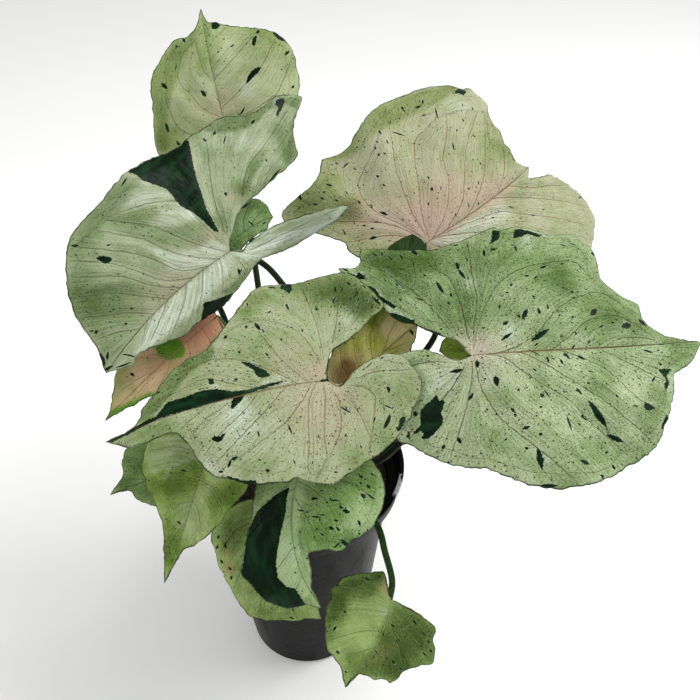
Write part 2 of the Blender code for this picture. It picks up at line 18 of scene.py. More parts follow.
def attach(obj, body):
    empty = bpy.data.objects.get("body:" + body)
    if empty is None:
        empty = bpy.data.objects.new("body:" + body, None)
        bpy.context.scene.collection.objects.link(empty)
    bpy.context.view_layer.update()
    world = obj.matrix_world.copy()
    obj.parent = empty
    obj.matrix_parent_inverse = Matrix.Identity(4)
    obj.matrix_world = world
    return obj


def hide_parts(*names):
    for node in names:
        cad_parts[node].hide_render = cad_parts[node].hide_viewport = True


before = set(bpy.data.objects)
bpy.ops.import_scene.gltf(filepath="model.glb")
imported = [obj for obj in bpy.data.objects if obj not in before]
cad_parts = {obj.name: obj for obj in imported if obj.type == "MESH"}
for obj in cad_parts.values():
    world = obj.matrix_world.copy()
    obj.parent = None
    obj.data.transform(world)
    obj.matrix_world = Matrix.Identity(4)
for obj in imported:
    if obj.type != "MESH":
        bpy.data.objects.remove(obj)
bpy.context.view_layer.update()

MM = 0.001

# Viewpoint that the blades are set out from, which is also the camera's
EYE = np.array((0.0300, -0.3480, 0.5399))
VIEW_PITCH = math.radians(40.0)
VIEW_FOCAL = 850.0
VIEW_MIDDLE = 350.0
SENSOR_WIDTH = 36.0
FORWARD = np.array((0.0, math.cos(VIEW_PITCH), -math.sin(VIEW_PITCH)))
UPWARD = np.array((0.0, math.sin(VIEW_PITCH), math.cos(VIEW_PITCH)))
SIDEWAYS = np.array((1.0, 0.0, 0.0))

# Pot
POT_HEIGHT = 0.160
POT_RIM_RADIUS = 0.0625
POT_COLLAR_HEIGHT = 0.013
POT_SHOULDER = POT_HEIGHT - POT_COLLAR_HEIGHT
POT_SHOULDER_RADIUS = 0.0545
POT_BASE_RADIUS = 0.0385
POT_WALL = 0.0014
POT_FLOOR = 0.0020
LIP_HEIGHT, LIP_FOOT, LIP_PROUD = 0.003, 0.004, 0.0012
COLLAR_TAPER = 0.0026
POT_ROUNDING = 0.0006
POT_SEGMENTS = 192
SHARP_ANGLE = math.radians(38)
DRAIN_HOLES = 6
DRAIN_HOLE_RADIUS = 0.0045
DRAIN_HOLE_RING = 0.026

# Painted highlight on the rim of the pot, a pale ragged streak where the glossy rim catches the light:
# its middle and half-sizes in millimetres
RIM_HIGHLIGHT_MIDDLE = (57.8, -19.0, 158.5)
RIM_HIGHLIGHT_SIZE = (5.0, 14.0, 3.0)

# Soil: its crumbs as (waves to the metre, share), and the chips of bark and perlite that lie in it,
# their sizes in metres and how far their corners are broken off
SOIL_TOP = 0.145
SOIL_DOME = 0.003
SOIL_ROUGH = 0.0011
CRUMBS = ((90, 0.55), (260, 0.35), (700, 0.25))
SOIL_RINGS, SOIL_SPOKES, SOIL_SIDE_RINGS = 56, 176, 3
CLEARANCE = 0.0003
CHIPS = 320
CHIP_SEED = 11
CHIP_REACH = 0.0485
BARK, PERLITE = 1, 2
PERLITE_EVERY = 5
CHIP_SIZES = {BARK: (0.0008, 0.0021), PERLITE: (0.0006, 0.0012)}
CHIP_BREAKS = {BARK: 0.28, PERLITE: 0.12}

# Blades, stalks and stems. A stalk starts at two buried points, rises and leans towards its route,
# and goes on under the blade as a thin ridge, between two shares of the midrib.
BLADE_THICKNESS = 0.0005
CAD_BLADE_THICKNESS = 0.0009
STALK_RADIUS = 0.0020
STALK_TIP_RADIUS = 0.0018
STALK_BURIED = (0.009, 0.003)
STALK_RISE, STALK_LEAN = 0.022, 0.15
STALK_STEPS = 12
RIDGE_START, RIDGE_END = 0.05, 0.90
RIDGE_RADII = (0.0011, 0.0002)
RIDGE_POINTS = 26
STEM_RADIUS = 0.0035
STEM_HEIGHT = 0.016
STEM_BURIED = 0.006
STEM_SCARS = 3
STEM_STEPS = 24
STEMS = {"rear": (-0.004, 0.013), "right": (0.013, -0.001), "front": (-0.008, -0.009)}

# Meshing of a blade: millimetres between its rays at the margin, and rows along a ray. Points closer
# than MERGE are joined, FAN_SHARE of a plain half's rays start at the joint, and a ray that starts at
# the midrib bows by RAY_BOW of its length.
FINE_BLADE = (1.15, 48)
MIDDLE_BLADE = (1.1, 32)
SMALL_BLADE = (1.2, 20)
MARGIN_STEPS = 10
MIDRIB_POINTS = 24
MERGE = 5e-6
FAN_SHARE = 0.35
RAY_BOW = 0.10
SIDES = ("left", "right")

# Shape of a sheet: how soft its fold is and how deep that is at the midrib, and how its ripples grow
FOLD_SOFTNESS = 2.0
FOLD_FOOT = 1.414
RIPPLE_REACH = 0.6
RIPPLE_MOST = 1.2
RIPPLE_START = 0.8

# Relief of a blade, in millimetres. The quilting between its veins fades out towards the margin, the
# joint and the midrib, the margin's ruffles towards the joint, and its teeth towards both ends.
QUILT_RISE = 1.3
QUILT_EDGE, QUILT_JOINT, QUILT_RIB = 6.0, 12.0, 4.0
PUCKER_RISE = 0.35
MARGIN_CURL = 0.4
CURL_REACH = 1.2
MARGIN_RUFFLE = 1.1
RUFFLE_REACH, RUFFLE_JOINT = 5.0, 15.0
MARGIN_TEETH = 0.7
TEETH_FADE = 8.0
MIDRIB_SINK = 0.5
MIDRIB_REACH = 1.2

# Millimetres that stand for the gap beyond a blade's first vein, and within which a dash is carried,
# and what is carried where no splash (millimetres) or dash (lengths of it) is near
LOBE_GAP = 14.0
DASH_REACH = 5.0
FAR_FROM_SPLASH = 30.0
FAR_FROM_DASH = 9.0

# Where a sight line is searched for a sheet: metres from the sheet's plane, and how finely after that
SEARCH_DEPTHS = np.arange(121) * 0.001 - 0.06
SEARCH_HALVINGS = 24

# Floor and light
FLOOR_HALF = 4.0
PLANT_MIDDLE = (0.02, 0.0, 0.2)
ROOM_LIGHT = 0.62
KEY_POWER = 22.0
FILL_POWER = 9.0

# Each leaf: where its blade joins the stalk (x, y of the view, depth in metres), where its tip is
# seen, the way its upper side faces, its shape in millimetres and how finely it is meshed. "left" and
# "right" are the margins from the joint to the tip, as runs of x, y, as looked at along the midrib
# with the upper side up. "ribs" are the lines that a lobed half is folded along, each with the
# numbers of its margin's points where the lobe is longest and where it turns back.
LEAVES = {}
LEAVES["front"] = dict(
    joint=(327,380, 0.42), tip=(106,443), faces=(0.09, -0.4, 0.91), arch=11, bow=0, cup=0.0036, lobes=0.008,
    fold=0.03, ripple=1.6, ripples=9, mesh=FINE_BLADE,
    left=[334,385, 343,384, 357,368, 371,359, 385,354, 397,354, 406,358, 413,366, 420,375, 422,388, 415,406,
        408,421, 391,444, 363,464, 339,481, 328,485, 306,481, 297,478, 286,482, 252,484, 225,478, 216,477,
        202,466, 192,450, 185,441, 179,435, 171,433, 156,438, 134,447, 118,445],
    right=[327,373, 329,362, 332,351, 352,337, 371,318, 379,312, 384,307, 380,298, 365,284, 352,275, 341,273,
        321,277, 301,282, 274,285, 257,288, 245,299, 232,317, 214,340, 202,352, 183,362, 172,370, 160,387,
        150,399, 142,410, 137,423, 126,432, 114,440],
    ribs=dict(left=([350,390, 377,392, 400,387], 9, 15), right=([323,350, 334,322, 351,300], 8, 12)),
    route=[(330,420, 0.452), (318,450, 0.472)], root=(0.001, -0.021))
LEAVES["right_large"] = dict(
    joint=(471,354, 0.425), tip=(700,343), faces=(0.08, -0.38, 0.92), arch=10, bow=-5, cup=0.0022,
    lobes=-0.001, fold=0.06, ripple=1.8, ripples=11, mesh=FINE_BLADE, bumps=[(-30, -38, 30, -14)],
    left=[456,340, 440,336, 415,325, 393,318, 365,287, 349,276, 339,268, 355,268, 360,262, 361,251, 375,249,
        400,250, 432,250, 448,245, 470,237, 484,231, 495,227, 500,230, 515,227, 528,228, 544,234, 571,234,
        580,241, 592,250, 597,263, 600,277, 606,285, 620,295, 638,305, 642,317, 650,326, 665,335, 680,339],
    right=[465,358, 457,360, 445,356, 426,350, 405,352, 395,358, 388,375, 385,395, 388,422, 396,439, 409,445,
        417,448, 432,457, 450,464, 468,468, 485,468, 493,471, 508,477, 526,484, 558,489, 573,487, 593,484,
        615,475, 629,466, 645,457, 658,444, 663,430, 668,419, 674,390, 674,375, 680,370, 691,362],
    ribs=dict(left=([450,326, 423,300, 396,279, 378,268], 8, 14),
              right=([455,367, 430,384, 410,404], 8, 15)),
    route=[(440,400, 0.44), (403,440, 0.449), (374,462, 0.46)], root=(0.021, 0.0))
LEAVES["rear_right"] = dict(
    joint=(426,243, 0.5), tip=(527,168), faces=(0.35, -0.6, 0.72), arch=8, bow=-2, cup=0.0024, lobes=0.0,
    fold=0.05, ripple=2.0, ripples=10, mesh=FINE_BLADE, bumps=[(-35, 55, 35, -10)],
    left=[412,250, 392,257, 372,260, 358,257, 350,252, 345,243, 337,240, 319,234, 295,229, 283,220, 284,210,
        294,200, 312,185, 320,172, 322,160, 337,155, 350,145, 357,131, 371,112, 384,103, 400,97, 420,89,
        440,86, 452,86, 462,89, 470,88, 475,93, 487,103, 488,113, 493,124, 500,131, 504,142, 511,150,
        514,160, 522,165],
    right=[428,255, 445,270, 480,285, 520,290, 560,280, 585,262, 592,245, 594,232, 595,219, 590,208, 583,197,
        573,188, 562,181, 551,175, 538,177, 529,178],
    ribs=dict(left=([390,227, 350,217, 315,211], 10, 15), right=([460,254, 510,262, 550,262], 5, 8)),
    route=[(431,290, 0.505), (431,343, 0.508)], root=(0.017, 0.012))
LEAVES["rear_left"] = dict(
    joint=(226,128, 0.52), tip=(201,9), faces=(0.0, -0.9, 0.44), arch=7, bow=0, cup=0.003, lobes=0.0,
    fold=0.06, ripple=1.2, ripples=8, mesh=MIDDLE_BLADE,
    left=[222,140, 212,158, 190,170, 168,165, 158,153, 154,135, 153,110, 151,80, 158,64, 167,49, 176,39,
        187,37, 196,26],
    right=[235,140, 250,152, 270,155, 288,140, 296,115, 298,93, 300,83, 297,70, 293,52, 285,40, 268,30,
        240,27, 216,23, 207,21],
    route=[(246,210, 0.546), (257,278, 0.518)], root=(-0.013, 0.017))
LEAVES["left_silver"] = dict(
    joint=(231,251, 0.46), tip=(106,373), faces=(0.42, -0.67, 0.61), arch=3, bow=-5, cup=0.0012, lobes=0.0,
    fold=0.05, ripple=1.5, ripples=9, mesh=FINE_BLADE, bumps=[(-62, 28, 26, 30)], roll=(7.0, 0.03, 14.0),
    left=[242,251, 248,244, 263,232, 288,220, 330,208, 348,206, 335,221, 317,232, 290,248, 260,260, 248,276,
        243,282, 223,306, 196,324, 185,335, 153,347, 136,356, 134,364, 116,370],
    right=[230,243, 233,230, 239,212, 246,203, 260,192, 276,177, 289,166, 298,154, 294,140, 293,120, 299,108,
        300,96, 277,96, 262,107, 247,115, 222,117, 209,125, 188,138, 175,149, 150,159, 127,172, 115,183,
        104,198, 91,212, 79,225, 70,238, 66,255, 66,275, 68,292, 75,315, 85,330, 93,342, 98,350, 103,366],
    ribs=dict(left=([262,247, 300,228, 336,210], 5, 10),
              right=([228,232, 235,205, 247,167, 272,130], 10, 17)),
    route=[(262,263, 0.489), (284,286, 0.493), (302,313, 0.498)], root=(-0.004, 0.021))
LEAVES["small_rear"] = dict(
    joint=(225,247, 0.488), tip=(273,217), faces=(0.1, -0.6, 0.8), arch=2, bow=1, cup=0.004, lobes=0.0,
    fold=0.05, ripple=0.6, ripples=7, mesh=SMALL_BLADE,
    left=[217,236, 218,218, 230,203, 243,199, 252,198, 259,200, 267,206, 270,212],
    right=[232,256, 240,251, 248,242, 256,235, 267,229, 269,223],
    route=[(215,292, 0.506), (227,325, 0.518)], root=(-0.018, 0.01))
LEAVES["small_right"] = dict(
    joint=(402,290, 0.484), tip=(412,234), faces=(0.0, -0.6, 0.8), arch=2, bow=0, cup=0.004, lobes=0.0,
    fold=0.06, ripple=0.6, ripples=6, mesh=SMALL_BLADE,
    left=[392,285, 383,272, 384,255, 391,245, 401,239],
    right=[412,287, 424,278, 430,262, 425,245, 420,238],
    route=[(385,360, 0.496)], root=(0.013, 0.02))
LEAVES["inner_right"] = dict(
    joint=(492,352, 0.462), tip=(439,351), faces=(0.0, -0.5, 0.86), arch=2, bow=0, cup=0.004, lobes=0.0,
    fold=0.06, ripple=0.5, ripples=6, mesh=SMALL_BLADE,
    left=[488,362, 475,370, 458,366, 445,356],
    right=[488,345, 475,338, 456,338, 444,339],
    route=[(450,420, 0.478)], root=(0.021, -0.008))
LEAVES["young_centre"] = dict(
    joint=(338,392, 0.452), tip=(418,323), faces=(0.1, -0.6, 0.79), arch=3, bow=0, cup=0.003, lobes=0.0,
    fold=0.1, ripple=0.8, ripples=7, mesh=SMALL_BLADE,
    left=[328,385, 328,365, 337,342, 352,320, 375,303, 400,306],
    right=[348,402, 370,398, 395,380, 410,352, 416,335],
    route=[(330,428, 0.472)], root=(0.005, -0.006))
LEAVES["young_left"] = dict(
    joint=(217,316, 0.48), tip=(105,421), faces=(0.1, -0.5, 0.86), arch=4, bow=0, cup=0.003, lobes=0.0,
    fold=0.08, ripple=0.8, ripples=7, mesh=SMALL_BLADE,
    left=[223,328, 233,340, 229,356, 206,374, 178,388, 149,397, 135,404, 122,411],
    right=[210,306, 195,298, 170,304, 142,325, 122,350, 116,372, 114,387, 110,409],
    route=[(236,345, 0.5)], root=(-0.019, 0.002))
LEAVES["lower_left"] = dict(
    joint=(213,438, 0.428), tip=(165,583), faces=(-0.1, -0.7, 0.7), arch=6, bow=2, cup=0.003, lobes=0.0,
    fold=0.05, ripple=1.2, ripples=8, mesh=MIDDLE_BLADE,
    left=[225,428, 243,435, 257,453, 254,475, 244,493, 234,504, 228,511, 221,522, 210,533, 201,541, 183,551,
        176,562, 170,573],
    right=[200,426, 178,421, 156,430, 145,450, 142,470, 146,484, 154,500, 158,511, 163,529, 164,549,
        164,569],
    route=[(250,440, 0.452)], root=(-0.014, -0.012))
LEAVES["far_left"] = dict(
    joint=(205,462, 0.448), tip=(110,495), faces=(-0.2, -0.6, 0.77), arch=4, bow=0, cup=0.003, lobes=0.0,
    fold=0.05, ripple=0.8, ripples=7, mesh=SMALL_BLADE,
    left=[208,478, 198,500, 180,512, 165,510, 152,505, 138,500, 130,491, 120,492],
    right=[200,446, 182,434, 160,433, 145,440, 126,449, 122,462, 123,475, 118,484],
    route=[(245,465, 0.468)], root=(-0.02, -0.006))
LEAVES["lower_centre"] = dict(
    joint=(300,470, 0.43), tip=(322,608), faces=(0.05, -0.75, 0.66), arch=6, bow=-9, cup=0.003, lobes=0.0,
    fold=-0.08, ripple=1.0, ripples=8, mesh=MIDDLE_BLADE,
    left=[312,456, 335,448, 358,452, 372,461, 377,467, 382,478, 385,492, 383,507, 378,518, 372,527, 363,535,
        353,540, 346,547, 339,552, 328,550, 312,552, 308,556, 311,567, 312,586, 316,597],
    right=[290,459, 273,461, 261,472, 256,486, 253,502, 252,516, 247,535, 244,551, 241,572, 246,580, 254,589,
        264,599, 275,605, 289,609, 304,605],
    route=[(303,463, 0.462)], root=(-0.004, -0.021))
LEAVES["under_front"] = dict(
    joint=(262,500, 0.464), tip=(323,619), faces=(-0.1, -0.75, 0.65), arch=4, bow=0, cup=0.002, lobes=0.0,
    fold=0.04, ripple=1.0, ripples=8, mesh=MIDDLE_BLADE,
    left=[272,492, 288,506, 301,530, 308,560, 311,585, 317,604],
    right=[250,499, 238,504, 226,511, 214,524, 211,537, 215,551, 218,564, 225,578, 234,595, 243,609, 254,618,
        270,620, 290,621, 308,619],
    route=[(272,478, 0.48)], root=(-0.01, -0.016))
LEAVES["trailing_right"] = dict(
    joint=(391,600, 0.456), tip=(345,687), faces=(0.15, -0.7, 0.7), arch=4, bow=3.5, cup=0.001, lobes=0.0,
    fold=-0.12, ripple=1.0, ripples=8, mesh=MIDDLE_BLADE,
    left=[397,602, 406,607, 417,613, 427,620, 436,629, 433,640, 435,649, 434,660, 430,665, 421,665, 410,669,
        402,673, 398,679, 390,683, 386,680, 374,679, 364,675, 358,674, 351,680],
    right=[388,590, 384,573, 375,572, 359,574, 343,577, 339,583, 332,589, 331,599, 326,610, 325,626, 326,639,
        328,650, 334,658, 340,666],
    route=[(392,580, 0.462), (385,552, 0.464), (378,527, 0.466), (360,500, 0.474)], root=(0.016, -0.014))

# What each blade carries. "blots" are the outlines of its large splashes, and "dashes" are its small
# ones, which run from (x, y) to (x, y) and are so many view units wide. "green", "blush" and "silver"
# are its tones: round spots (x, y, radius, strength) with soft rims, and outlined areas (run of x, y,
# millimetres over which the rim fades, strength). The green tone is the leaf's own clouding and also
# painted shade, in valleys, under folds and under other leaves. The blush is the pink at the joint and,
# by a young leaf's stalk, painted shade. The silver tone is the leaf's own silvering and also painted
# highlights and sheen on lit folds and along a midrib.
SPLASHES = {}
SPLASHES["front"] = dict(
    blots=[
        [294,379, 268,384, 248,390, 232,392, 217,390, 201,392, 183,399, 168,403, 157,416, 140,424, 108,441,
         112,443, 135,431, 160,418, 201,406, 232,398, 246,394, 266,388, 284,382],
        [234,397, 246,394, 240,403, 231,412, 231,403],
        [239,361, 249,363, 266,371, 271,377, 262,379, 256,377, 254,371, 246,367],
        [208,379, 213,379, 215,385, 209,385],
        [210,439, 214,436, 221,436, 227,432, 224,439, 218,443, 213,441],
        [281,283, 292,283, 291,289, 289,296, 285,291, 280,291],
        [281,283, 285,280, 290,279, 293,281, 291,285, 292,290, 289,295, 286,292, 280,290],
        [402,417, 406,417, 405,422, 402,427, 399,432, 397,431, 395,427, 399,427, 399,420],
        [227,475, 233,478, 243,480, 256,480, 259,485, 244,487, 230,483]],
    dashes=[(228,468, 231,460, 3), (231,460, 237,457, 3), (219,472, 223,472, 2.6), (288,425, 292,435, 2),
        (293,460, 295,465, 1.6), (340,407, 351,414, 2.2), (383,405, 393,410, 1.8), (286,305, 288,311, 3),
        (255,324, 260,330, 4.5), (334,291, 336,288, 2), (331,303, 337,295, 1.4), (355,293, 356,297, 1.6),
        (258,432, 259,437, 2), (269,409, 272,406, 1.5), (360,446, 361,449, 1.8), (215,338, 213,342, 3),
        (333,350, 354,337, 3), (347,283, 350,286, 3), (372,296, 381,306, 3), (247,303, 248,306, 2),
        (365,369, 373,362, 1.2), (380,359, 384,358, 1.4), (383,407, 385,411, 1.2), (356,291, 358,297, 1.8),
        (362,285, 366,289, 1.8), (341,292, 343,288, 1.5), (340,306, 342,309, 1.2), (357,306, 359,309, 1.6),
        (352,311, 354,314, 1.2), (366,299, 368,302, 1.6), (371,306, 373,309, 1.6), (325,376, 330,353, 1.4),
        (332,304, 336,297, 1.6), (335,287, 336,293, 1.8), (353,299, 356,296, 1.6), (357,303, 359,300, 1.6),
        (371,308, 374,304, 1.4)],
    green=[(350,296, 26, 0.5), (365,308, 16, 0.35), (330,288, 22, 0.2), (300,285, 18, 0.2),
        (410,395, 14, 0.2), (385,440, 16, 0.35), (355,465, 18, 0.3), (405,425, 12, 0.35), (160,440, 16, 0.2),
        (245,312, 18, 0.2), (262,355, 26, 0.15), (320,301, 19, 0.36), (345,404, 13, 0.42),
        (362,297, 15, 0.25),
        ([262,290, 300,277, 345,272, 383,305, 372,322, 352,316, 330,300, 300,298, 262,305, 240,318], 8,
          0.25),
        ([262,328, 285,330, 310,348, 322,366, 305,362, 280,345, 262,338], 5, 0.12),
        ([213,342, 205,352, 183,362, 172,370, 160,387, 150,399, 142,410, 137,423, 150,421, 158,412, 176,390,
          190,373, 214,357], 1.5, 0.5),
        ([110,443, 125,436, 150,425, 178,420, 165,434, 140,447, 120,447], 4, 0.2)],
    blush=[(322,372, 18, 0.7), (305,398, 32, 0.4), (325,420, 32, 0.35), (285,360, 20, 0.3),
        (345,400, 22, 0.35), (300,345, 12, 0.3)],
    silver=[(240,412, 12, 0.6), (232,430, 16, 0.5), (252,432, 22, 0.3), (208,468, 8, 0.7),
        (345,322, 12, 0.5),
        ([256,388, 262,382, 270,377, 280,375, 284,377, 280,381, 270,385, 262,388], 1, 0.6)])
SPLASHES["right_large"] = dict(
    blots=[
        [436,395, 431,401, 425,405, 420,413, 421,425, 413,433, 417,434, 421,431, 424,434, 421,439, 427,440,
         433,436, 442,426, 443,419, 441,414, 445,403, 443,400, 439,401, 438,397],
        [657,370, 672,370, 668,373, 666,376, 669,384, 666,390, 664,390, 664,383, 666,381, 662,375],
        [645,402, 655,408, 650,411, 645,412, 643,407], [667,412, 664,419, 660,429, 664,430, 668,421],
        [492,231, 500,231, 499,240, 489,247, 491,240],
        [514,231, 520,229, 528,231, 541,236, 538,239, 527,235, 521,238, 512,241],
        [400,315, 416,324, 425,328, 441,334, 441,337, 430,335, 418,330, 400,323],
        [365,286, 370,286, 375,289, 378,292, 380,296, 385,299, 393,304, 397,308, 393,309, 386,304, 379,300,
         376,296, 371,292, 366,289],
        [380,310, 388,314, 391,313, 400,315, 406,317, 412,320, 418,325, 416,327, 410,324, 404,325, 399,323,
         396,320, 387,317, 382,314],
        [347,271, 351,274, 356,276, 359,273, 362,275, 366,278, 365,280, 357,279, 351,278, 348,274],
        [406,432, 410,432, 410,440, 407,438, 405,437, 408,434]],
    dashes=[(450,373, 463,370, 4), (495,378, 497,386, 5.5), (473,394, 469,400, 3.5), (458,438, 461,443, 3.5),
        (511,409, 514,413, 2.5), (523,429, 529,427, 3.5), (538,449, 542,469, 5.5), (541,485, 557,486, 3.5),
        (588,402, 606,428, 6), (607,435, 622,442, 4.5), (580,461, 588,465, 3.5), (612,466, 614,469, 3.5),
        (566,416, 571,432, 2.4), (576,389, 581,395, 3.2), (560,361, 562,365, 2.5), (564,353, 569,360, 3.2),
        (577,356, 585,360, 3.2), (643,350, 652,354, 2.4), (532,341, 548,330, 6), (526,311, 522,320, 5),
        (507,323, 503,326, 4), (501,341, 511,334, 3.8), (595,311, 591,315, 6), (622,328, 629,326, 7),
        (639,320, 645,325, 5), (540,269, 546,266, 3), (534,280, 537,277, 2), (510,287, 512,284, 2.5),
        (499,309, 500,305, 2.2), (547,305, 548,309, 2.2), (456,264, 458,271, 4), (458,271, 465,280, 3.6),
        (436,283, 443,295, 4), (514,247, 516,252, 3), (484,251, 484,257, 3), (411,249, 417,255, 4),
        (431,251, 439,249, 3), (453,246, 458,245, 2.6), (416,298, 423,301, 2.2), (477,361, 478,367, 4),
        (544,390, 550,398, 1.6), (581,416, 588,421, 1.6), (592,254, 597,255, 5), (651,383, 655,377, 2.2),
        (575,332, 576,335, 2.4), (598,329, 603,326, 2), (560,265, 564,264, 2), (636,378, 640,381, 2),
        (372,254, 378,258, 2), (381,252, 383,256, 1.6), (388,256, 392,262, 1.6), (400,255, 403,260, 1.8),
        (466,258, 468,262, 1.8), (525,448, 528,449, 3), (528,349, 540,356, 1.4), (546,357, 549,363, 2),
        (342,268, 349,272, 2.5), (394,280, 406,290, 1.2), (384,280, 386,283, 1.6), (413,262, 414,269, 1.3)],
    # The green spots in the valley above and left of the joint and on the lower-left margin are painted
    # shade.
    green=[(425,262, 26, 0.4), (380,262, 20, 0.2), (395,290, 16, 0.2), (460,305, 20, 0.3),
        (462,325, 14, 0.3), (560,278, 20, 0.45), (545,262, 14, 0.2), (600,325, 18, 0.2), (470,262, 18, 0.2),
        (640,325, 14, 0.3), (660,395, 12, 0.35), (655,415, 14, 0.35), (640,450, 16, 0.25),
        (495,445, 20, 0.2), (600,385, 18, 0.25), (575,482, 16, 0.25), (412,400, 9, 0.5), (500,395, 14, 0.15),
        (500,357, 26, -0.15), (640,365, 20, -0.15), (505,262, 30, 0.15), (612,320, 18, 0.15),
        (600,450, 24, 0.15), (640,371, 16, 0.26), (397,264, 26, 0.25), (480,280, 20, 0.14),
        (600,310, 20, 0.14), (410,280, 16, -0.16), (555,274, 20, -0.15), (420,285, 24, 0.14),
        ([471,352, 440,335, 400,318, 360,285, 362,250, 450,246, 500,230, 570,235, 597,262, 640,310, 665,335,
          560,345], 10, 0.22),
        ([342,268, 361,251, 400,250, 448,246, 440,262, 405,268, 385,282, 410,310, 440,333, 400,318, 365,287],
          8, 0.12),
        ([664,336, 682,338, 700,343, 691,362, 678,370, 668,366], 8, 0.5)],
    blush=[(478,350, 16, 0.8), (505,354, 26, 0.35), (485,380, 14, 0.4), (450,365, 16, 0.3),
        (460,340, 14, 0.3)],
    silver=[(440,385, 15, 0.5), (506,334, 9, 0.6), (546,462, 8, 0.5), (470,284, 9, 0.5), (526,241, 9, 0.6),
        (453,378, 9, 0.4), (490,380, 8, 0.4), (608,425, 10, 0.3),
        ([368,291, 376,299, 385,305, 392,309, 399,312, 406,316, 412,320, 404,317, 397,314, 390,311, 383,306,
          375,301], 1.5, 0.6),
        ([383,270, 392,273, 405,290, 418,305, 430,318, 424,316, 410,302, 396,288], 4, 0.15)])
SPLASHES["rear_right"] = dict(
    blots=[[452,95, 456,90, 462,89, 466,92, 463,96, 458,94]],
    dashes=[(422,100, 422,105, 1.9), (435,108, 438,119, 1.6), (391,132, 404,137, 1.9),
        (402,110, 404,113, 1.7), (398,118, 399,121, 1.4), (390,121, 390,124, 1.4), (379,131, 381,134, 2.2),
        (376,141, 378,143, 1.5), (386,141, 388,144, 1.7), (375,147, 376,149, 1.7), (378,156, 379,154, 2.0),
        (383,153, 385,155, 1.4), (353,168, 356,170, 1.4), (330,165, 333,166, 1.4), (335,163, 338,165, 1.4),
        (331,175, 334,176, 1.3), (325,185, 332,187, 2.2), (322,192, 324,194, 1.3), (320,198, 323,200, 1.7),
        (299,195, 301,200, 2.5), (312,204, 318,205, 1.5), (334,200, 338,202, 1.4), (345,192, 347,195, 1.5),
        (369,205, 373,206, 1.4), (380,212, 387,215, 2.7), (382,185, 384,187, 1.7), (371,206, 372,208, 1.5),
        (376,176, 378,178, 2.0), (427,177, 428,180, 1.5), (440,187, 440,190, 1.5), (428,203, 428,206, 1.5),
        (452,143, 453,151, 1.7), (462,104, 462,107, 1.3), (472,107, 473,111, 2.2), (472,135, 475,138, 1.9),
        (468,188, 469,190, 1.7), (467,203, 469,207, 1.4), (455,213, 456,217, 1.3), (370,239, 376,237, 3.4),
        (374,222, 379,222, 1.5), (343,232, 345,235, 1.5), (518,219, 521,220, 1.9), (530,215, 535,216, 1.9),
        (508,207, 512,208, 1.4), (541,210, 544,210, 1.4), (577,199, 581,197, 1.9)],
    green=[(330,178, 16, 0.25), (505,150, 12, 0.45), (495,130, 10, 0.3), (460,92, 14, 0.2),
        (330,224, 16, 0.3), (438,205, 10, 0.3), (420,190, 12, 0.2), (575,232, 20, 0.15), (350,209, 12, 1.0),
        (490,150, 22, 0.18), (358,238, 16, 0.3), (370,143, 16, -0.32), (300,210, 20, 0.3),
        (310,195, 18, 0.2), (480,170, 16, 0.14), (380,220, 12, -0.15),
        ([400,97, 440,86, 470,88, 445,100, 420,112, 400,120, 380,132, 362,150, 340,160, 322,160, 337,155,
          357,131, 371,112], 4, 0.45)],
    blush=[(430,225, 26, 0.75), (465,200, 26, 0.5), (400,215, 28, 0.35), (490,195, 18, 0.45),
        (440,185, 22, 0.25), (365,218, 22, 0.35), (505,185, 12, 0.4)],
    silver=[(460,105, 14, 0.3),
        ([432,242, 455,229, 480,212, 500,202, 512,212, 495,228, 470,240, 440,248], 4, 0.6)])
SPLASHES["rear_left"] = dict(
    blots=[[211,23, 217,22, 220,25, 218,29, 212,30],
        [245,86, 247,78, 251,71, 257,67, 262,67, 259,72, 252,79, 248,83],
        [252,46, 252,41, 254,37, 257,35, 257,40, 255,46]],
    dashes=[(257,33, 259,31, 3), (273,33, 284,41, 4), (285,55, 289,51, 2.4), (292,88, 294,86, 2.4),
        (162,84, 167,88, 4), (202,91, 206,96, 4), (183,39, 185,42, 3), (176,46, 178,47, 2),
        (240,115, 245,107, 1.8), (231,47, 234,45, 1.6)],
    green=[(205,28, 12, 0.3), (262,33, 18, 0.4), (285,50, 10, 0.2), (200,60, 18, 0.2), (170,140, 16, 0.3),
        (262,90, 18, -0.3), (205,40, 14, 0.2),
        ([196,30, 187,38, 176,40, 158,64, 151,80, 153,110, 156,150, 168,150, 168,110, 178,78, 184,55,
          192,45], 4, 0.45)],
    blush=[(232,100, 22, 0.3), (215,110, 16, 0.4)],
    silver=[(246,90, 9, 0.6), (225,70, 14, 0.3), (200,84, 8, 0.3)])
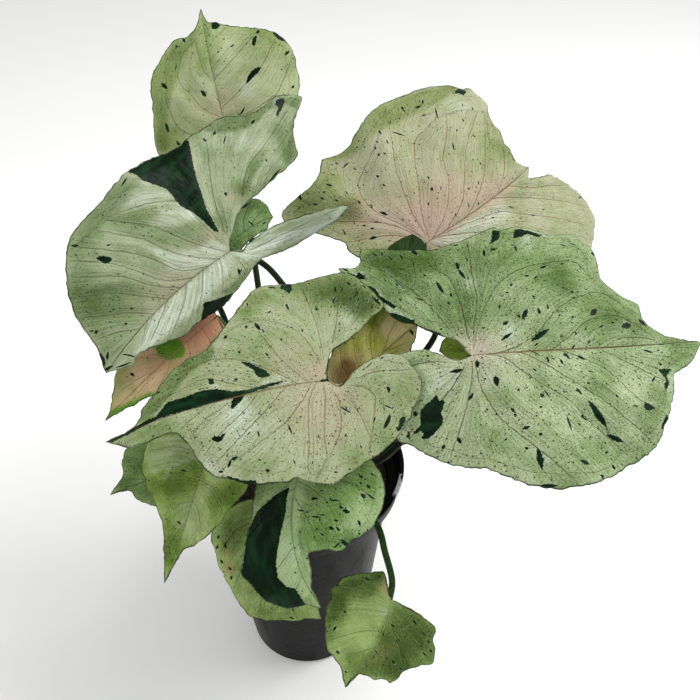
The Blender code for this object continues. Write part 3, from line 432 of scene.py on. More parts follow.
SPLASHES["left_silver"] = dict(
    blots=[
        [127,172, 150,159, 175,149, 188,138, 190,150, 194,170, 198,185, 206,210, 213,222, 219,233, 213,231,
         204,222, 193,213, 180,206, 172,196, 166,189, 157,186, 142,181, 135,175],
        [95,258, 101,256, 112,258, 111,262, 104,264, 99,260],
        [276,100, 283,98, 285,101, 281,110, 278,116, 275,116, 278,108, 275,104],
        [203,303, 214,300, 232,293, 241,286, 248,277, 250,277, 246,285, 232,301, 222,310, 212,317, 200,323,
         202,312]],
    dashes=[(72,246, 78,246, 2.8), (106,246, 110,245, 1.8), (95,333, 97,331, 2.8), (238,270, 239,274, 4.5),
        (213,135, 215,132, 3), (203,139, 206,141, 2.8), (223,144, 225,137, 1.8), (251,124, 254,121, 3),
        (130,308, 133,309, 1.8), (124,324, 127,324, 1.8), (265,160, 266,162, 2), (263,193, 268,186, 4),
        (268,183, 280,169, 2.4), (101,354, 105,366, 3.5), (108,352, 107,360, 2.4), (105,370, 113,366, 3),
        (122,354, 136,357, 1.6), (115,368, 132,362, 1.6)],
    # Among these, the valley between two creases, the bands under the folds of the lower panels and the dark
    # spot in the upper lobe's valley are painted shade.
    green=[(90,300, 17, 0.5), (278,131, 12, 0.4), (230,155, 14, 0.15), (185,335, 14, 0.2), (285,150, 9, 0.5),
        (240,190, 9, 0.65), (220,222, 10, 0.45), (195,135, 10, 0.2), (220,150, 18, 0.15),
        (110,320, 18, 0.14), (250,140, 12, -0.15), (310,220, 16, -0.2),
        ([127,172, 104,198, 79,225, 66,255, 68,292, 85,330, 103,366, 115,345, 100,320, 88,290, 86,260,
          95,235, 112,212, 135,190], 10, 0.3),
        ([108,220, 130,212, 155,206, 160,213, 148,222, 152,227, 175,229, 192,222, 204,226, 211,237, 204,243,
          196,249, 182,249, 165,244, 148,242, 130,237, 115,229], 2.5, 0.27),
        ([86,300, 120,300, 150,303, 163,307, 145,318, 120,322, 95,318], 6, 0.24),
        ([95,287, 130,281, 165,285, 180,290, 160,305, 120,300, 95,300], 4, 0.35),
        ([202,130, 222,117, 247,115, 262,107, 277,97, 299,97, 297,110, 285,104, 268,110, 255,124, 235,132,
          215,133], 2, 0.5),
        ([238,205, 242,185, 250,165, 262,150, 268,150, 256,170, 250,185, 243,203], 3, 0.4),
        ([299,120, 294,140, 298,154, 289,166, 276,177, 260,192, 246,203, 250,195, 268,178, 282,165, 288,150,
          290,125], 4, 0.4),
        ([222,292, 236,280, 246,268, 252,272, 244,284, 230,294], 2, 0.4),
        ([300,243, 330,226, 347,208, 349,205, 336,222, 318,233, 295,247, 262,261], 3, 0.3),
        ([92,246, 120,244, 147,248, 157,257, 168,268, 182,277, 165,275, 140,265, 110,260, 92,258], 3, 0.14)],
    blush=[(215,240, 14, 0.5), (200,255, 16, 0.4), (232,198, 10, 0.5), (175,285, 22, 0.4),
        (150,305, 22, 0.3), (215,262, 12, 0.3), (190,275, 16, 0.2), (233,262, 9, 0.25)],
    # Much of this silver is painted light: the bright bands on the lit sides of the folds, and the rolled
    # strip, made pale against its shade.
    silver=[(188,212, 9, 0.7), (235,260, 8, -0.9), (190,290, 12, -0.2), (270,240, 12, 0.5),
        (311,219, 15, 0.7), (250,140, 12, 0.2),
        ([110,205, 135,191, 160,188, 176,197, 165,203, 130,207], 4, 0.5),
        ([140,247, 160,249, 182,253, 198,250, 212,240, 228,247, 222,257, 207,266, 192,270, 182,272, 172,270,
          163,261, 152,252], 2, 0.7),
        ([160,214, 180,208, 196,216, 188,221, 176,226, 158,225], 2, 0.5),
        ([200,141, 230,135, 255,130, 252,144, 240,150, 205,150], 4, 0.2),
        ([231,253, 248,245, 300,226, 346,206, 335,221, 317,230, 290,243, 260,256, 234,266, 205,300, 160,340,
          134,358, 150,320, 180,290], 3, 0.9)])
SPLASHES["lower_centre"] = dict(
    blots=[
        [290,486, 275,495, 258,510, 248,532, 244,557, 241,574, 251,584, 262,598, 275,607, 287,609, 300,606,
         306,604, 300,595, 295,588, 287,586, 278,577, 276,563, 278,548, 282,528, 286,512, 287,498]],
    dashes=[(311,499, 317,498, 2.6), (320,491, 324,490, 1.6), (331,500, 338,500, 2), (361,494, 365,498, 4),
        (367,494, 374,499, 2), (339,506, 343,508, 2.4), (343,510, 349,512, 4), (298,510, 304,511, 1.8),
        (305,512, 309,512, 1.6), (311,516, 321,517, 1.8), (319,514, 325,515, 1.6), (319,518, 320,521, 1.6),
        (360,482, 361,484, 2), (371,473, 373,476, 1.8), (358,520, 360,525, 2.8), (367,529, 368,531, 2),
        (358,533, 360,534, 2.2), (334,520, 338,521, 2.2), (329,527, 333,529, 3.2), (336,527, 340,531, 2.2),
        (320,533, 324,535, 1.8), (340,540, 349,546, 4.6), (334,548, 340,542, 2.2)],
    # The spot at 345, 482 is painted shade under the front leaf.
    green=[(345,482, 26, 0.3), (315,488, 14, 0.2), (325,532, 18, 0.4), (345,546, 12, 0.4),
        (312,515, 14, 0.2), (355,515, 14, -0.2), (371,481, 11, 0.35), (262,498, 10, 0.2),
        (330,510, 12, 0.14), (350,540, 9, 0.3), (370,500, 10, 0.18), (262,500, 12, -0.15),
        (295,500, 8, -0.35), (350,480, 8, -0.15),
        ([288,487, 296,470, 304,480, 301,510, 297,535, 301,560, 306,575, 312,590, 305,598, 296,590, 287,586,
          278,575, 276,560, 280,530, 285,505], 2, -0.35)],
    silver=[(290,555, 14, 0.3)])
SPLASHES["under_front"] = dict(
    dashes=[(225,543, 226,548, 3), (221,560, 223,563, 3), (229,567, 232,569, 2.6), (290,617, 294,618, 2.2)],
    # The spot at 235, 532 is painted shade.
    green=[(235,532, 16, 0.6), (270,615, 26, 0.3), (232,548, 10, 0.3)],
    blush=[(229,568, 5, 0.8), (226,552, 5, 0.5)])
SPLASHES["trailing_right"] = dict(
    dashes=[(336,650, 339,653, 2.4), (344,611, 346,613, 2), (333,630, 336,626, 2.4), (365,578, 369,580, 2),
        (391,624, 394,627, 2), (381,630, 384,636, 1.6), (412,620, 416,624, 1.8), (421,631, 426,636, 1.6),
        (422,652, 426,656, 1.8), (392,660, 394,663, 2.2), (400,668, 402,670, 2), (408,626, 410,628, 1.4),
        (375,650, 377,653, 1.4), (345,671, 347,672, 1.8)],
    # The darker outlined areas are painted shade, chiefly on the half folded away from the light; the
    # negative spots and area are painted light along the midrib.
    green=[(339,611, 10, 0.74), (360,630, 14, -0.2), (394,666, 13, 0.59), (408,640, 15, 0.29),
        (385,641, 9, 0.44), (385,600, 12, -0.4), (345,640, 13, -0.2),
        ([391,600, 436,629, 434,660, 398,679, 364,675, 352,672, 368,650, 382,622], 3, 0.22),
        ([384,573, 343,577, 332,589, 328,622, 345,602, 375,592], 6, 0.45),
        ([386,618, 392,603, 412,612, 430,625, 434,640, 433,660, 420,668, 398,680, 384,675, 362,665, 378,645],
          5, 0.25),
        ([337,590, 345,577, 383,570, 384,580, 360,585, 345,600, 335,612, 330,640, 327,620], 5, 0.25),
        ([355,592, 385,596, 388,605, 380,640, 365,655, 345,650, 340,620], 9, -0.2)],
    blush=[(386,588, 7, 0.5),
        ([376,640, 396,640, 396,655, 380,668, 362,664], 6, 0.08)],
    # The silver spot is a painted highlight along the midrib.
    silver=[(384,612, 6, 0.25)])
SPLASHES["young_left"] = dict(
    dashes=[(131,374, 134,376, 3), (152,347, 156,346, 3)],
    green=[
        ([157,344, 163,338, 176,338, 184,348, 182,356, 170,359, 160,354], 3, 1.0),
        ([103,424, 120,413, 135,407, 150,399, 152,394, 140,398, 122,406, 108,414], 4, 0.6)],
    # The blush spot at 216, 318 is painted shade by the stalk.
    blush=[(197,330, 32, 1.0), (160,362, 18, 0.35), (122,395, 10, -0.3), (216,318, 12, 0.5),
        (120,412, 9, -0.2),
        ([157,344, 163,338, 176,338, 184,348, 182,356, 170,359, 160,354], 3, -2.0)])
SPLASHES["young_centre"] = dict(
    dashes=[(410,330, 413,335, 3)],
    green=[(372,318, 14, 0.55), (352,352, 12, 0.2), (372,342, 14, 0.2), (390,330, 10, -0.5)],
    blush=[(345,385, 24, 0.9), (412,345, 14, -0.4), (347,368, 9, 0.8), (355,356, 15, 0.3)])
SPLASHES["small_rear"] = dict(
    dashes=[(248,221, 254,226, 1.6), (240,210, 250,203, 2), (262,224, 266,222, 1.6)],
    green=[(236,244, 14, 0.5), (262,208, 10, 0.3)])
SPLASHES["lower_left"] = dict(
    dashes=[(178,521, 181,524, 2)],
    green=[(185,470, 14, 0.2), (175,543, 15, 0.85), (232,498, 14, 0.45), (160,490, 12, 0.3),
        (170,560, 12, 0.26),
        ([164,470, 196,464, 203,472, 206,483, 180,498, 168,494, 163,481], 4, 0.3),
        ([176,498, 200,494, 211,485, 203,533, 184,542, 172,555, 177,526], 6, -0.2),
        ([143,486, 155,494, 164,499, 175,520, 179,530, 171,552, 166,575, 163,542, 159,507], 4, 0.2),
        ([212,483, 243,485, 227,520, 211,533, 212,510], 5, 0.25)],
    silver=[(180,447, 16, 0.15),
        ([150,440, 180,434, 205,446, 200,458, 170,462, 156,474, 147,470], 3, 0.25),
        ([176,498, 200,494, 211,485, 203,533, 184,542, 177,526], 8, 0.22),
        ([163,478, 168,466, 180,460, 194,456, 196,459, 182,464, 171,471, 166,480], 1.5, 0.3)])
SPLASHES["far_left"] = dict(
    green=[(150,470, 24, 0.4), (123,484, 9, 0.54), (130,460, 10, 0.4), (141,480, 7, -0.51)])
SPLASHES["small_right"] = dict(
    green=[(405,280, 16, 1.0)])

# Side veins as seen, as runs of x, y from the joint or midrib to near the margin, in order from the
# lobe to the tip. A leaf that isn't here has PLAIN_VEINS plain ones on each half.
PLAIN_VEINS = 5
VEINS = {}
VEINS["front"] = dict(
    left=[[329,382, 342,386, 352,383, 366,375, 383,371, 402,370],
        [330,383, 339,385, 359,386, 369,390, 375,398, 374,412], [331,384, 345,395, 357,410, 366,428],
        [328,384, 333,391, 339,402, 341,423, 338,437, 331,451], [324,384, 325,400, 324,432, 327,454],
        [316,382, 309,400, 308,424, 309,440, 308,464],
        [313,380, 305,397, 298,407, 288,420, 276,430, 263,440, 252,449, 238,458],
        [290,382, 268,408, 250,427, 232,446], [262,387, 245,410, 222,432, 208,450],
        [240,395, 222,408, 205,420, 194,432], [213,402, 200,412, 186,425]],
    right=[[327,372, 331,357, 338,343, 352,325, 366,308], [326,371, 331,350, 334,335, 337,318, 338,298],
        [325,372, 322,350, 316,325, 308,303],
        [324,373, 313,350, 303,337, 291,328, 276,323, 260,321, 240,325, 221,336],
        [303,379, 285,364, 275,353, 264,339, 257,327],
        [292,381, 272,371, 255,365, 240,360, 212,360, 190,368],
        [262,388, 245,387, 227,383, 205,379, 185,388]])
VEINS["right_large"] = dict(
    left=[[468,352, 455,337, 440,318, 425,302, 405,286, 385,273],
        [470,350, 464,318, 460,303, 455,290, 449,278, 438,271],
        [473,350, 474,325, 477,300, 473,280, 470,260], [473,353, 476,334, 481,315, 487,302, 495,288, 505,278,
        518,270, 530,266, 542,264, 560,262, 575,263, 584,272, 594,282],
        [508,350, 517,347, 535,336, 546,323, 556,311, 567,302, 581,296, 596,292, 610,297, 622,306],
        [552,350, 570,336, 583,324, 598,317, 616,316, 630,322], [605,347, 621,339, 640,338, 655,340]],
    right=[[468,356, 456,363, 438,362, 419,364, 402,372], [469,357, 462,371, 452,388, 440,402, 424,422],
        [472,357, 472,380, 467,405, 460,430, 452,452],
        [474,356, 476,368, 481,388, 489,402, 498,415, 509,426, 522,436, 534,445, 552,460],
        [480,352, 505,358, 521,370, 541,383, 560,394, 574,404, 588,420, 605,435],
        [520,352, 545,364, 571,380, 600,398, 622,415], [560,350, 600,366, 617,379, 635,396, 648,405],
        [598,348, 626,362, 652,375]])
VEINS["rear_right"] = dict(
    left=[[425,241, 405,237, 385,236, 362,240, 345,243], [425,239, 405,230, 382,223, 360,222, 330,222],
        [424,238, 412,231, 397,223, 380,215, 367,204, 359,191, 359,181, 363,173, 369,160, 376,146, 381,130],
        [426,236, 413,215, 403,190, 395,165, 392,143], [428,236, 421,213, 419,188, 416,171, 414,151, 416,139,
        426,130, 436,120, 450,114, 465,111, 480,112], [433,238, 446,213, 449,184, 443,159, 446,140, 446,122],
        [444,234, 461,205, 464,184, 465,159, 468,140, 474,122], [461,225, 478,195, 485,163, 485,132],
        [497,197, 504,173, 503,150]],
    right=[[430,243, 455,252, 490,262], [445,236, 480,232, 520,232, 562,240],
        [462,226, 500,212, 529,215, 573,222], [497,198, 530,198, 566,202], [511,186, 530,188, 552,186]])
VEINS["rear_left"] = dict(
    left=[[224,132, 205,148, 188,160], [222,128, 195,135, 179,128, 171,113, 167,100, 166,86],
        [221,118, 202,108, 193,97, 181,86, 178,73, 182,57, 190,46], [214,82, 203,68, 198,52, 194,40]],
    right=[[230,133, 250,140, 272,138], [228,125, 250,112, 275,95, 285,75],
        [222,108, 240,90, 262,65, 272,45], [214,80, 232,60, 248,42], [206,52, 215,38, 224,30]])
VEINS["left_silver"] = dict(
    left=[[233,250, 250,250, 275,238, 300,226, 334,211], [229,253, 240,262, 246,272],
        [220,260, 222,272, 222,292], [203,273, 202,290, 199,306], [186,286, 184,302, 177,322],
        [168,299, 162,315, 154,334], [150,314, 146,328, 141,346]],
    right=[[231,247, 238,222, 242,196, 245,177, 252,161, 267,142, 280,122],
        [230,248, 222,225, 214,200, 210,175, 207,148],
        [228,249, 213,235, 196,218, 181,203, 154,203, 132,209, 109,218, 94,230],
        [226,252, 205,247, 180,238, 154,227, 130,223], [218,259, 192,257, 166,250, 145,240, 122,235],
        [208,267, 180,271, 154,260, 132,253, 106,250], [197,277, 166,281, 139,272, 113,264, 88,262],
        [184,288, 154,286, 124,277, 90,277], [168,299, 139,296, 109,293, 84,297],
        [150,314, 128,313, 100,316], [133,330, 118,332, 104,337]])
VEINS["lower_centre"] = dict(
    left=[[304,472, 330,460, 358,462], [306,478, 330,478, 355,485, 374,500],
        [299,482, 309,486, 325,500, 333,514, 337,529, 339,544], [296,500, 308,520, 316,542]],
    right=[[298,470, 280,466, 263,480], [292,490, 275,500, 258,518], [290,515, 268,535, 250,562],
        [295,545, 280,565, 260,590], [303,575, 295,592, 288,602]])
VEINS["trailing_right"] = dict(
    left=[[394,603, 418,612, 430,625], [391,604, 405,628, 422,648], [386,616, 396,640, 402,664],
        [379,634, 383,655, 382,674], [367,652, 366,670]],
    right=[[389,596, 384,585, 378,575], [388,602, 372,592, 350,588], [385,612, 360,610, 334,612],
        [380,630, 358,632, 332,640], [368,650, 352,654, 340,662]])

# Colours as they are seen, 0 to 255: each leaf's pale ground, the green that clouds it, the deepest
# green, the blush at the joint, the side veins and the midrib. The green and the deepest green are also
# the colours of the shade that the green tone paints.
TINT_NAMES = ("pale", "green", "deep", "blush", "vein", "rib")
TINTS = {
    "front": ((160,167,135), (118,137,88), (66,88,42), (171,156,137), (128,106,80), (122,96,66)),
    "right_large": ((170,184,146), (120,142,94), (72,97,44), (186,178,158), (88,84,54), (110,86,58)),
    "rear_right": ((166,169,141), (128,141,92), (90,105,52), (178,150,138), (142,106,88), (138,106,88)),
    "rear_left": ((177,184,145), (128,147,92), (92,113,56), (184,171,141), (126,120,82), (120,122,76)),
    "left_silver": ((159,169,139), (113,130,91), (77,96,53), (168,157,137), (92,92,66), (84,72,50)),
    "lower_centre": ((152,173,125), (105,133,73), (59,87,36), (164,173,115), (96,112,64), (120,142,88)),
    "under_front": ((163,182,120), (124,147,84), (71,92,41), (163,124,80), (96,100,56), (120,130,80)),
    "trailing_right": ((147,169,105), (101,124,63), (61,82,32), (187,164,122), (138,158,98), (166,182,130)),
    "young_left": ((195,166,134), (80,126,32), (74,126,27), (178,126,101), (190,124,112), (190,124,112)),
    "young_centre": ((208,190,140), (151,158,57), (101,113,25), (97,75,42), (136,108,66), (140,110,70)),
    "small_rear": ((139,165,116), (107,132,80), (76,101,54), (143,163,114), (88,112,70), (120,146,96)),
    "small_right": ((44,68,30), (28,46,17), (14,28,9), (50,70,30), (18,36,12), (50,76,32)),
    "inner_right": ((152,168,79), (119,149,59), (79,106,40), (119,145,59), (79,103,40), (152,165,92)),
    "lower_left": ((162,181,120), (122,146,68), (84,108,40), (179,196,140), (156,174,116), (168,182,136)),
    "far_left": ((132,155,101), (97,122,69), (64,88,47), (126,145,97), (120,144,96), (120,140,96)),
}
# Dark green of the splashes, and the lighter green of the painted sheen that clouds them
SPLASH_DARK = (4, 22, 7)
SPLASH_SHEEN = (16, 46, 22)
# Silver of the splashes' halos and of the silver tone, which also paints highlights and sheen on lit folds
HALO_SILVER = (192, 204, 188)
# Dark line along the margins, partly the blade's own edge, partly painted shade
EDGE_DARK = (36, 48, 28)
SPECK_DARK = (32, 52, 26)
UNDERSIDE_GREEN = (120, 146, 96)

# How strong each leaf's specks, fine grain, clouding, streaks and veins are
HABIT_NAMES = ("specks", "grain", "cloud", "streak", "lines")
HABITS = {
    "front": (0.72, 0.06, 0.28, 0.16, 0.60),
    "right_large": (0.95, 0.10, 0.30, 0.18, 0.85),
    "rear_right": (0.36, 0.05, 0.22, 0.16, 0.80),
    "rear_left": (0.10, 0.05, 0.28, 0.12, 0.60),
    "left_silver": (0.10, 0.05, 0.22, 0.22, 0.46),
    "lower_centre": (0.50, 0.12, 0.34, 0.14, 0.65),
    "under_front": (0.20, 0.08, 0.40, 0.16, 0.50),
    "trailing_right": (0.12, 0.10, 0.44, 0.18, 0.40),
    "young_left": (0.06, 0.04, 0.25, 0.10, 0.60),
    "young_centre": (0.06, 0.05, 0.30, 0.12, 0.30),
    "small_rear": (0.15, 0.12, 0.40, 0.20, 0.80),
    "small_right": (0.10, 0.10, 0.40, 0.20, 0.40),
    "inner_right": (0.10, 0.10, 0.40, 0.20, 0.40),
    "lower_left": (0.05, 0.10, 0.60, 0.14, 0.32),
    "far_left": (0.20, 0.14, 0.40, 0.16, 0.50),
}

# How strongly each layer of a leaf's colour covers those before it
HALO_STRENGTH = 0.25
MOTTLE_STRENGTH = 0.14
VEIN_STRENGTHS = {"Net": 0.16, "Fine Lines": 0.42, "Side Veins": 0.8}
SPECK_STRENGTH = 0.85

# Leaves whose stalks are painted lit, in a paler green; the other stalks are painted in shade, near-black
LIT_STALKS = ("trailing_right", "lower_left", "far_left", "young_left", "lower_centre")


def sight_lines(seen):
    """Directions of the sight lines through points of the view, one metre deep."""
    seen = np.asarray(seen, float).reshape(-1, 2)
    across = (seen[:, :1] - VIEW_MIDDLE) / VIEW_FOCAL
    down = (seen[:, 1:] - VIEW_MIDDLE) / VIEW_FOCAL
    return FORWARD + across * SIDEWAYS - down * UPWARD


def sight(x, y, depth):
    """Point of space at a depth behind a point of the view."""
    return EYE + depth * sight_lines((x, y))[0]


class Sheet:
    """The curved sheet that a blade lies in, with its own frame: along, across and normal."""

    def __init__(self, leaf):
        self.leaf = leaf
        self.origin = sight(*leaf["joint"])
        self.view_unit = leaf["joint"][2] / VIEW_FOCAL / MM
        self.normal = np.array(leaf["faces"]) / np.linalg.norm(leaf["faces"])
        line = sight_lines(leaf["tip"])[0]
        depth = (self.origin - EYE) @ self.normal / (line @ self.normal)
        reach = EYE + depth * line - self.origin
        self.length = np.linalg.norm(reach) / MM
        self.along = reach / np.linalg.norm(reach)
        self.across = np.cross(self.normal, self.along)
        self.rib = self.midrib(np.linspace(0.0, 1.0, MIDRIB_POINTS))

    def height(self, s, t):
        """Height of the sheet over its plane, all in millimetres."""
        leaf = self.leaf
        x = s / self.length
        crease = np.sqrt(t * t + FOLD_SOFTNESS) - FOLD_FOOT
        high = leaf["fold"] * crease - leaf["cup"] * t * t
        rise = 4 * leaf["arch"] * x
        high = high + np.where(s > 0, rise * (1 - x), rise + leaf["lobes"] * s * s)
        reach = np.minimum(RIPPLE_MOST, np.hypot(s, t) / (RIPPLE_REACH * self.length))
        turn = leaf["ripples"] * np.arctan2(t, s) + RIPPLE_START
        high = high + leaf["ripple"] * reach ** 3 * np.sin(turn)
        for at_s, at_t, size, rise in leaf.get("bumps", ()):
            high = high + rise * np.exp(-((s - at_s) ** 2 + (t - at_t) ** 2) / size ** 2)
        if "roll" in leaf:
            start, rate, most = leaf["roll"]
            drop = rate * np.maximum(0.0, t - start) ** 2
            high = high - most * drop / (most + drop) * 2
        return high

    def points(self, s, t, lift=0.0):
        """Points of space for places on the sheet, lifted off it by so many millimetres."""
        s, t = np.asarray(s, float), np.asarray(t, float)
        high = (self.height(s, t) + lift)[..., None]
        flat = s[..., None] * self.along + t[..., None] * self.across
        return self.origin + MM * (flat + high * self.normal)

    def places(self, seen):
        """Places on the sheet where the sight lines through points of the view first meet it."""
        lines = sight_lines(seen)
        middle = (self.origin - EYE) @ self.normal / (lines @ self.normal)

        def miss(depth):
            reach = depth[..., None] * lines.reshape((-1,) + (1,) * (depth.ndim - 1) + (3,))
            offset = (EYE + reach - self.origin) / MM
            s, t = offset @ self.along, offset @ self.across
            return offset @ self.normal - self.height(s, t), s, t

        depths = middle[:, None] + SEARCH_DEPTHS
        gaps = miss(depths)[0]
        crossed = (gaps[:, 1:] > 0) != (gaps[:, :1] > 0)
        met = crossed.any(axis=1)
        nearest = np.abs(gaps).argmin(axis=1).clip(0, len(SEARCH_DEPTHS) - 2)
        first = np.where(met, crossed.argmax(axis=1), nearest)
        rows = np.arange(len(lines))
        near, far = depths[rows, first], depths[rows, first + 1]
        ahead = gaps[:, 0] > 0
        for _ in range(SEARCH_HALVINGS):
            half = 0.5 * (near + far)
            same = (miss(half)[0] > 0) == ahead
            near = np.where(met & same, half, near)
            far = np.where(met & ~same, half, far)
        _, s, t = miss(np.where(met, far, near))
        return np.stack([s, t], axis=1)

    def midrib(self, x):
        """Places on the midrib, x running from 0 at the joint to 1 at the tip."""
        x = np.asarray(x, float)
        return np.stack([x * self.length, 4 * self.leaf["bow"] * x * (1 - x)], axis=-1)


def smooth(points, steps):
    """Smooth curve that passes through the points, with so many steps between each two."""
    points = np.asarray(points, float)
    ends = np.vstack([2 * points[0] - points[1], points, 2 * points[-1] - points[-2]])
    f = (np.arange(steps) / steps)[:, None]
    pieces = []
    for p0, p1, p2, p3 in zip(ends, ends[1:], ends[2:], ends[3:]):
        pieces.append(0.5 * (2 * p1 + (p2 - p0) * f + (2 * p0 - 5 * p1 + 4 * p2 - p3) * f ** 2
                             + (3 * p1 - p0 - 3 * p2 + p3) * f ** 3))
    return np.vstack(pieces + [points[-1:]])


def walked(line):
    """Distance walked along a line at each of its points."""
    return np.concatenate([[0.0], np.cumsum(np.linalg.norm(np.diff(line, axis=0), axis=1))])


def spread(line, count):
    """So many points, evenly spaced along a line."""
    way = walked(line)
    want = np.linspace(0.0, way[-1], count)
    return np.stack([np.interp(want, way, line[:, i]) for i in range(line.shape[1])], axis=1)


def apart(places, line):
    """Distance from each place to a line of points."""
    best = np.full(len(places), np.inf)
    for a, b in zip(line, line[1:]):
        side = b - a
        share = np.clip((places - a) @ side / max(side @ side, 1e-12), 0.0, 1.0)
        best = np.minimum(best, np.linalg.norm(places - a - share[:, None] * side, axis=1))
    return best


def beyond(places, line, sign):
    """Signed distance from each place to a line carried on straight past both its ends."""
    best, result = np.full(len(places), np.inf), np.zeros(len(places))
    last = len(line) - 2
    for k, (a, b) in enumerate(zip(line, line[1:])):
        side = b - a
        share = (places - a) @ side / max(side @ side, 1e-12)
        share = np.clip(share, -np.inf if k == 0 else 0.0, np.inf if k == last else 1.0)
        away = np.linalg.norm(places - a - share[:, None] * side, axis=1)
        cross = side[0] * (places - a)[:, 1] - side[1] * (places - a)[:, 0]
        result = np.where(away < best, away * np.where(cross * sign > 0, 1.0, -1.0), result)
        best = np.minimum(best, away)
    return result


def outside(places, outline):
    """Signed distance from each place to a closed outline, negative within it."""
    closed = np.vstack([outline, outline[:1]])
    within = np.zeros(len(places), bool)
    for (ax, ay), (bx, by) in zip(closed, closed[1:]):
        spans = (ay > places[:, 1]) != (by > places[:, 1])
        if by != ay:
            within ^= spans & (places[:, 0] < (bx - ax) * (places[:, 1] - ay) / (by - ay) + ax)
    return apart(places, closed) * np.where(within, -1.0, 1.0)


def outline_of(sheet, side):
    """Places along one margin, from the joint to the tip."""
    return smooth(np.vstack([[0.0, 0.0], sheet.places(sheet.leaf[side]), [sheet.length, 0.0]]), MARGIN_STEPS)


def wave(*at):
    """Smooth noise at a place, from -1 to 1."""
    return noise.noise(Vector(at))


def faded(distance, over):
    """0 at no distance, rising to 1 over so many millimetres."""
    return np.clip(distance / over, 0.0, 1.0)


def frayed(margin, seed):
    """A margin with its small teeth and waves, unmoved at the joint and the tip."""
    way = walked(margin)
    step = np.gradient(margin, axis=0)
    out = np.stack([-step[:, 1], step[:, 0]], axis=1)
    out /= np.maximum(np.linalg.norm(out, axis=1, keepdims=True), 1e-6)
    hem = faded(np.minimum(way, way[-1] - way), TEETH_FADE)
    teeth = np.array([wave(w * 0.22, seed, 0.0) + 0.55 * wave(w * 0.6, seed, 4.0) for w in way])
    return margin + out * (MARGIN_TEETH * hem * teeth)[:, None]


def plain_rays(sheet, margin, count):
    """Rays of a half-sheet without a rib: a share of them fans out from the joint, and the rest starts
    along the midrib."""
    share = np.linspace(0.0, 1.0, count)
    inner = sheet.midrib(np.maximum(0.0, (share - FAN_SHARE) / (1 - FAN_SHARE)) ** 1.2)
    outer = spread(margin, 50 * count)[np.linspace(count, 50 * count - 1, count).astype(int)]
    return inner, outer, np.clip(share - 0.3, 0.0, 0.3) / 0.3


def ribbed_rays(sheet, side, margin, longest, across_mm):
    """Rays of a half-sheet with a rib in its lobe: out along the rib, back along it, then along the
    midrib."""
    seen, far, back = sheet.leaf["ribs"][side]
    far, back = (far + 1) * MARGIN_STEPS, (back + 1) * MARGIN_STEPS
    lobe = round(max(walked(margin[:far + 1])[-1], walked(margin[far:back + 1])[-1]) / across_mm)
    rest = round(longest / across_mm * 0.55)
    rib = spread(smooth(np.vstack([[0.0, 0.0], sheet.places(seen)]), MARGIN_STEPS), lobe + 1)
    share = np.linspace(0.0, 1.0, rest + 1)[1:]
    inner = np.vstack([rib, rib[::-1][1:], sheet.midrib(share ** 1.1)])
    outer = np.vstack([spread(margin[:far + 1], lobe + 1), spread(margin[far:back + 1], lobe + 1)[1:],
                       spread(margin[back:], rest + 1)[1:]])
    return inner, outer, np.concatenate([np.zeros(2 * lobe + 1), np.minimum(1.0, share * 3)])


def blade_rays(sheet, side, across_mm):
    """Rays of one half-sheet: their inner ends, their outer ends on the margin, and how much each bows.
    across_mm is about how far apart they meet the margin."""
    margins = {half: outline_of(sheet, half) for half in SIDES}
    longest = max(walked(margin)[-1] for margin in margins.values())
    if "ribs" in sheet.leaf:
        return ribbed_rays(sheet, side, margins[side], longest, across_mm)
    return plain_rays(sheet, margins[side], round(longest / across_mm))


def half_sheet(sheet, side, across_mm, rows):
    """Grid of places of one half-sheet: [ray, step along the ray]."""
    inner, outer, bows = blade_rays(sheet, side, across_mm)
    outer = frayed(outer, 1.0 if side == "left" else 2.0)
    chord = outer - inner
    square = np.stack([-chord[:, 1], chord[:, 0]], axis=1)
    square *= np.where(square[:, :1] > 0, -1.0, 1.0)
    f = np.linspace(0.0, 1.0, rows + 1)[None, :, None]
    bow = (RAY_BOW * bows)[:, None, None] * 4 * f * (1 - f)
    return inner[:, None] + chord[:, None] * f + square[:, None] * bow


def vein_lines(sheet, name, side):
    """The side veins of one half, in order from the lobe to the tip."""
    drawn = VEINS.get(name)
    if drawn:
        return [smooth(sheet.places(line), 4) for line in drawn[side]]
    ends = spread(outline_of(sheet, side), 101)
    lines = []
    for k in range(PLAIN_VEINS):
        start = sheet.midrib(0.02 + 0.70 * (k / PLAIN_VEINS) ** 1.1)
        end = ends[round(100 * (0.16 + 0.80 * (k + 0.5) / PLAIN_VEINS))]
        bend = 0.5 * (start + end) - (0.14 * np.linalg.norm(end - start), 0.0)
        lines.append(smooth([start, bend, end], 8))
    return lines


def venation(sheet, name, side, places):
    """At each place of a half-sheet: how many side veins have been passed, going from the lobe to the
    tip, with the fraction of the way to the next, and how many millimetres apart the two are."""
    sign = -1.0 if side == "left" else 1.0
    away = [beyond(places, line, sign) for line in vein_lines(sheet, name, side)]
    away.append(-apart(places, sheet.rib) - 1e-6)
    away = np.array(away)
    passed = np.argmax(away <= 0.0, axis=0)
    rows = np.arange(len(places))
    ahead = -away[passed, rows]
    behind = np.where(passed > 0, away[np.maximum(passed - 1, 0), rows], 0.0)
    gap = np.where(passed > 0, ahead + behind, LOBE_GAP)
    behind = np.where(passed > 0, behind, np.maximum(LOBE_GAP - ahead, 0.02 * LOBE_GAP))
    return passed + behind / gap, gap


def tones(sheet, places, areas):
    """Strength of a tone at each place, from its soft round spots and its outlined areas."""
    total = np.zeros(len(places))
    for *where, last, strength in areas:
        if len(where) == 2:
            away = np.linalg.norm(places - sheet.places(where)[0], axis=1)
            total += strength * np.exp(-(away / (last * sheet.view_unit)) ** 2)
        else:
            away = outside(places, sheet.places(where[0]))
            total += strength * np.clip(0.5 - away / last, 0.0, 1.0)
    return np.clip(total, -1.0, 1.0)


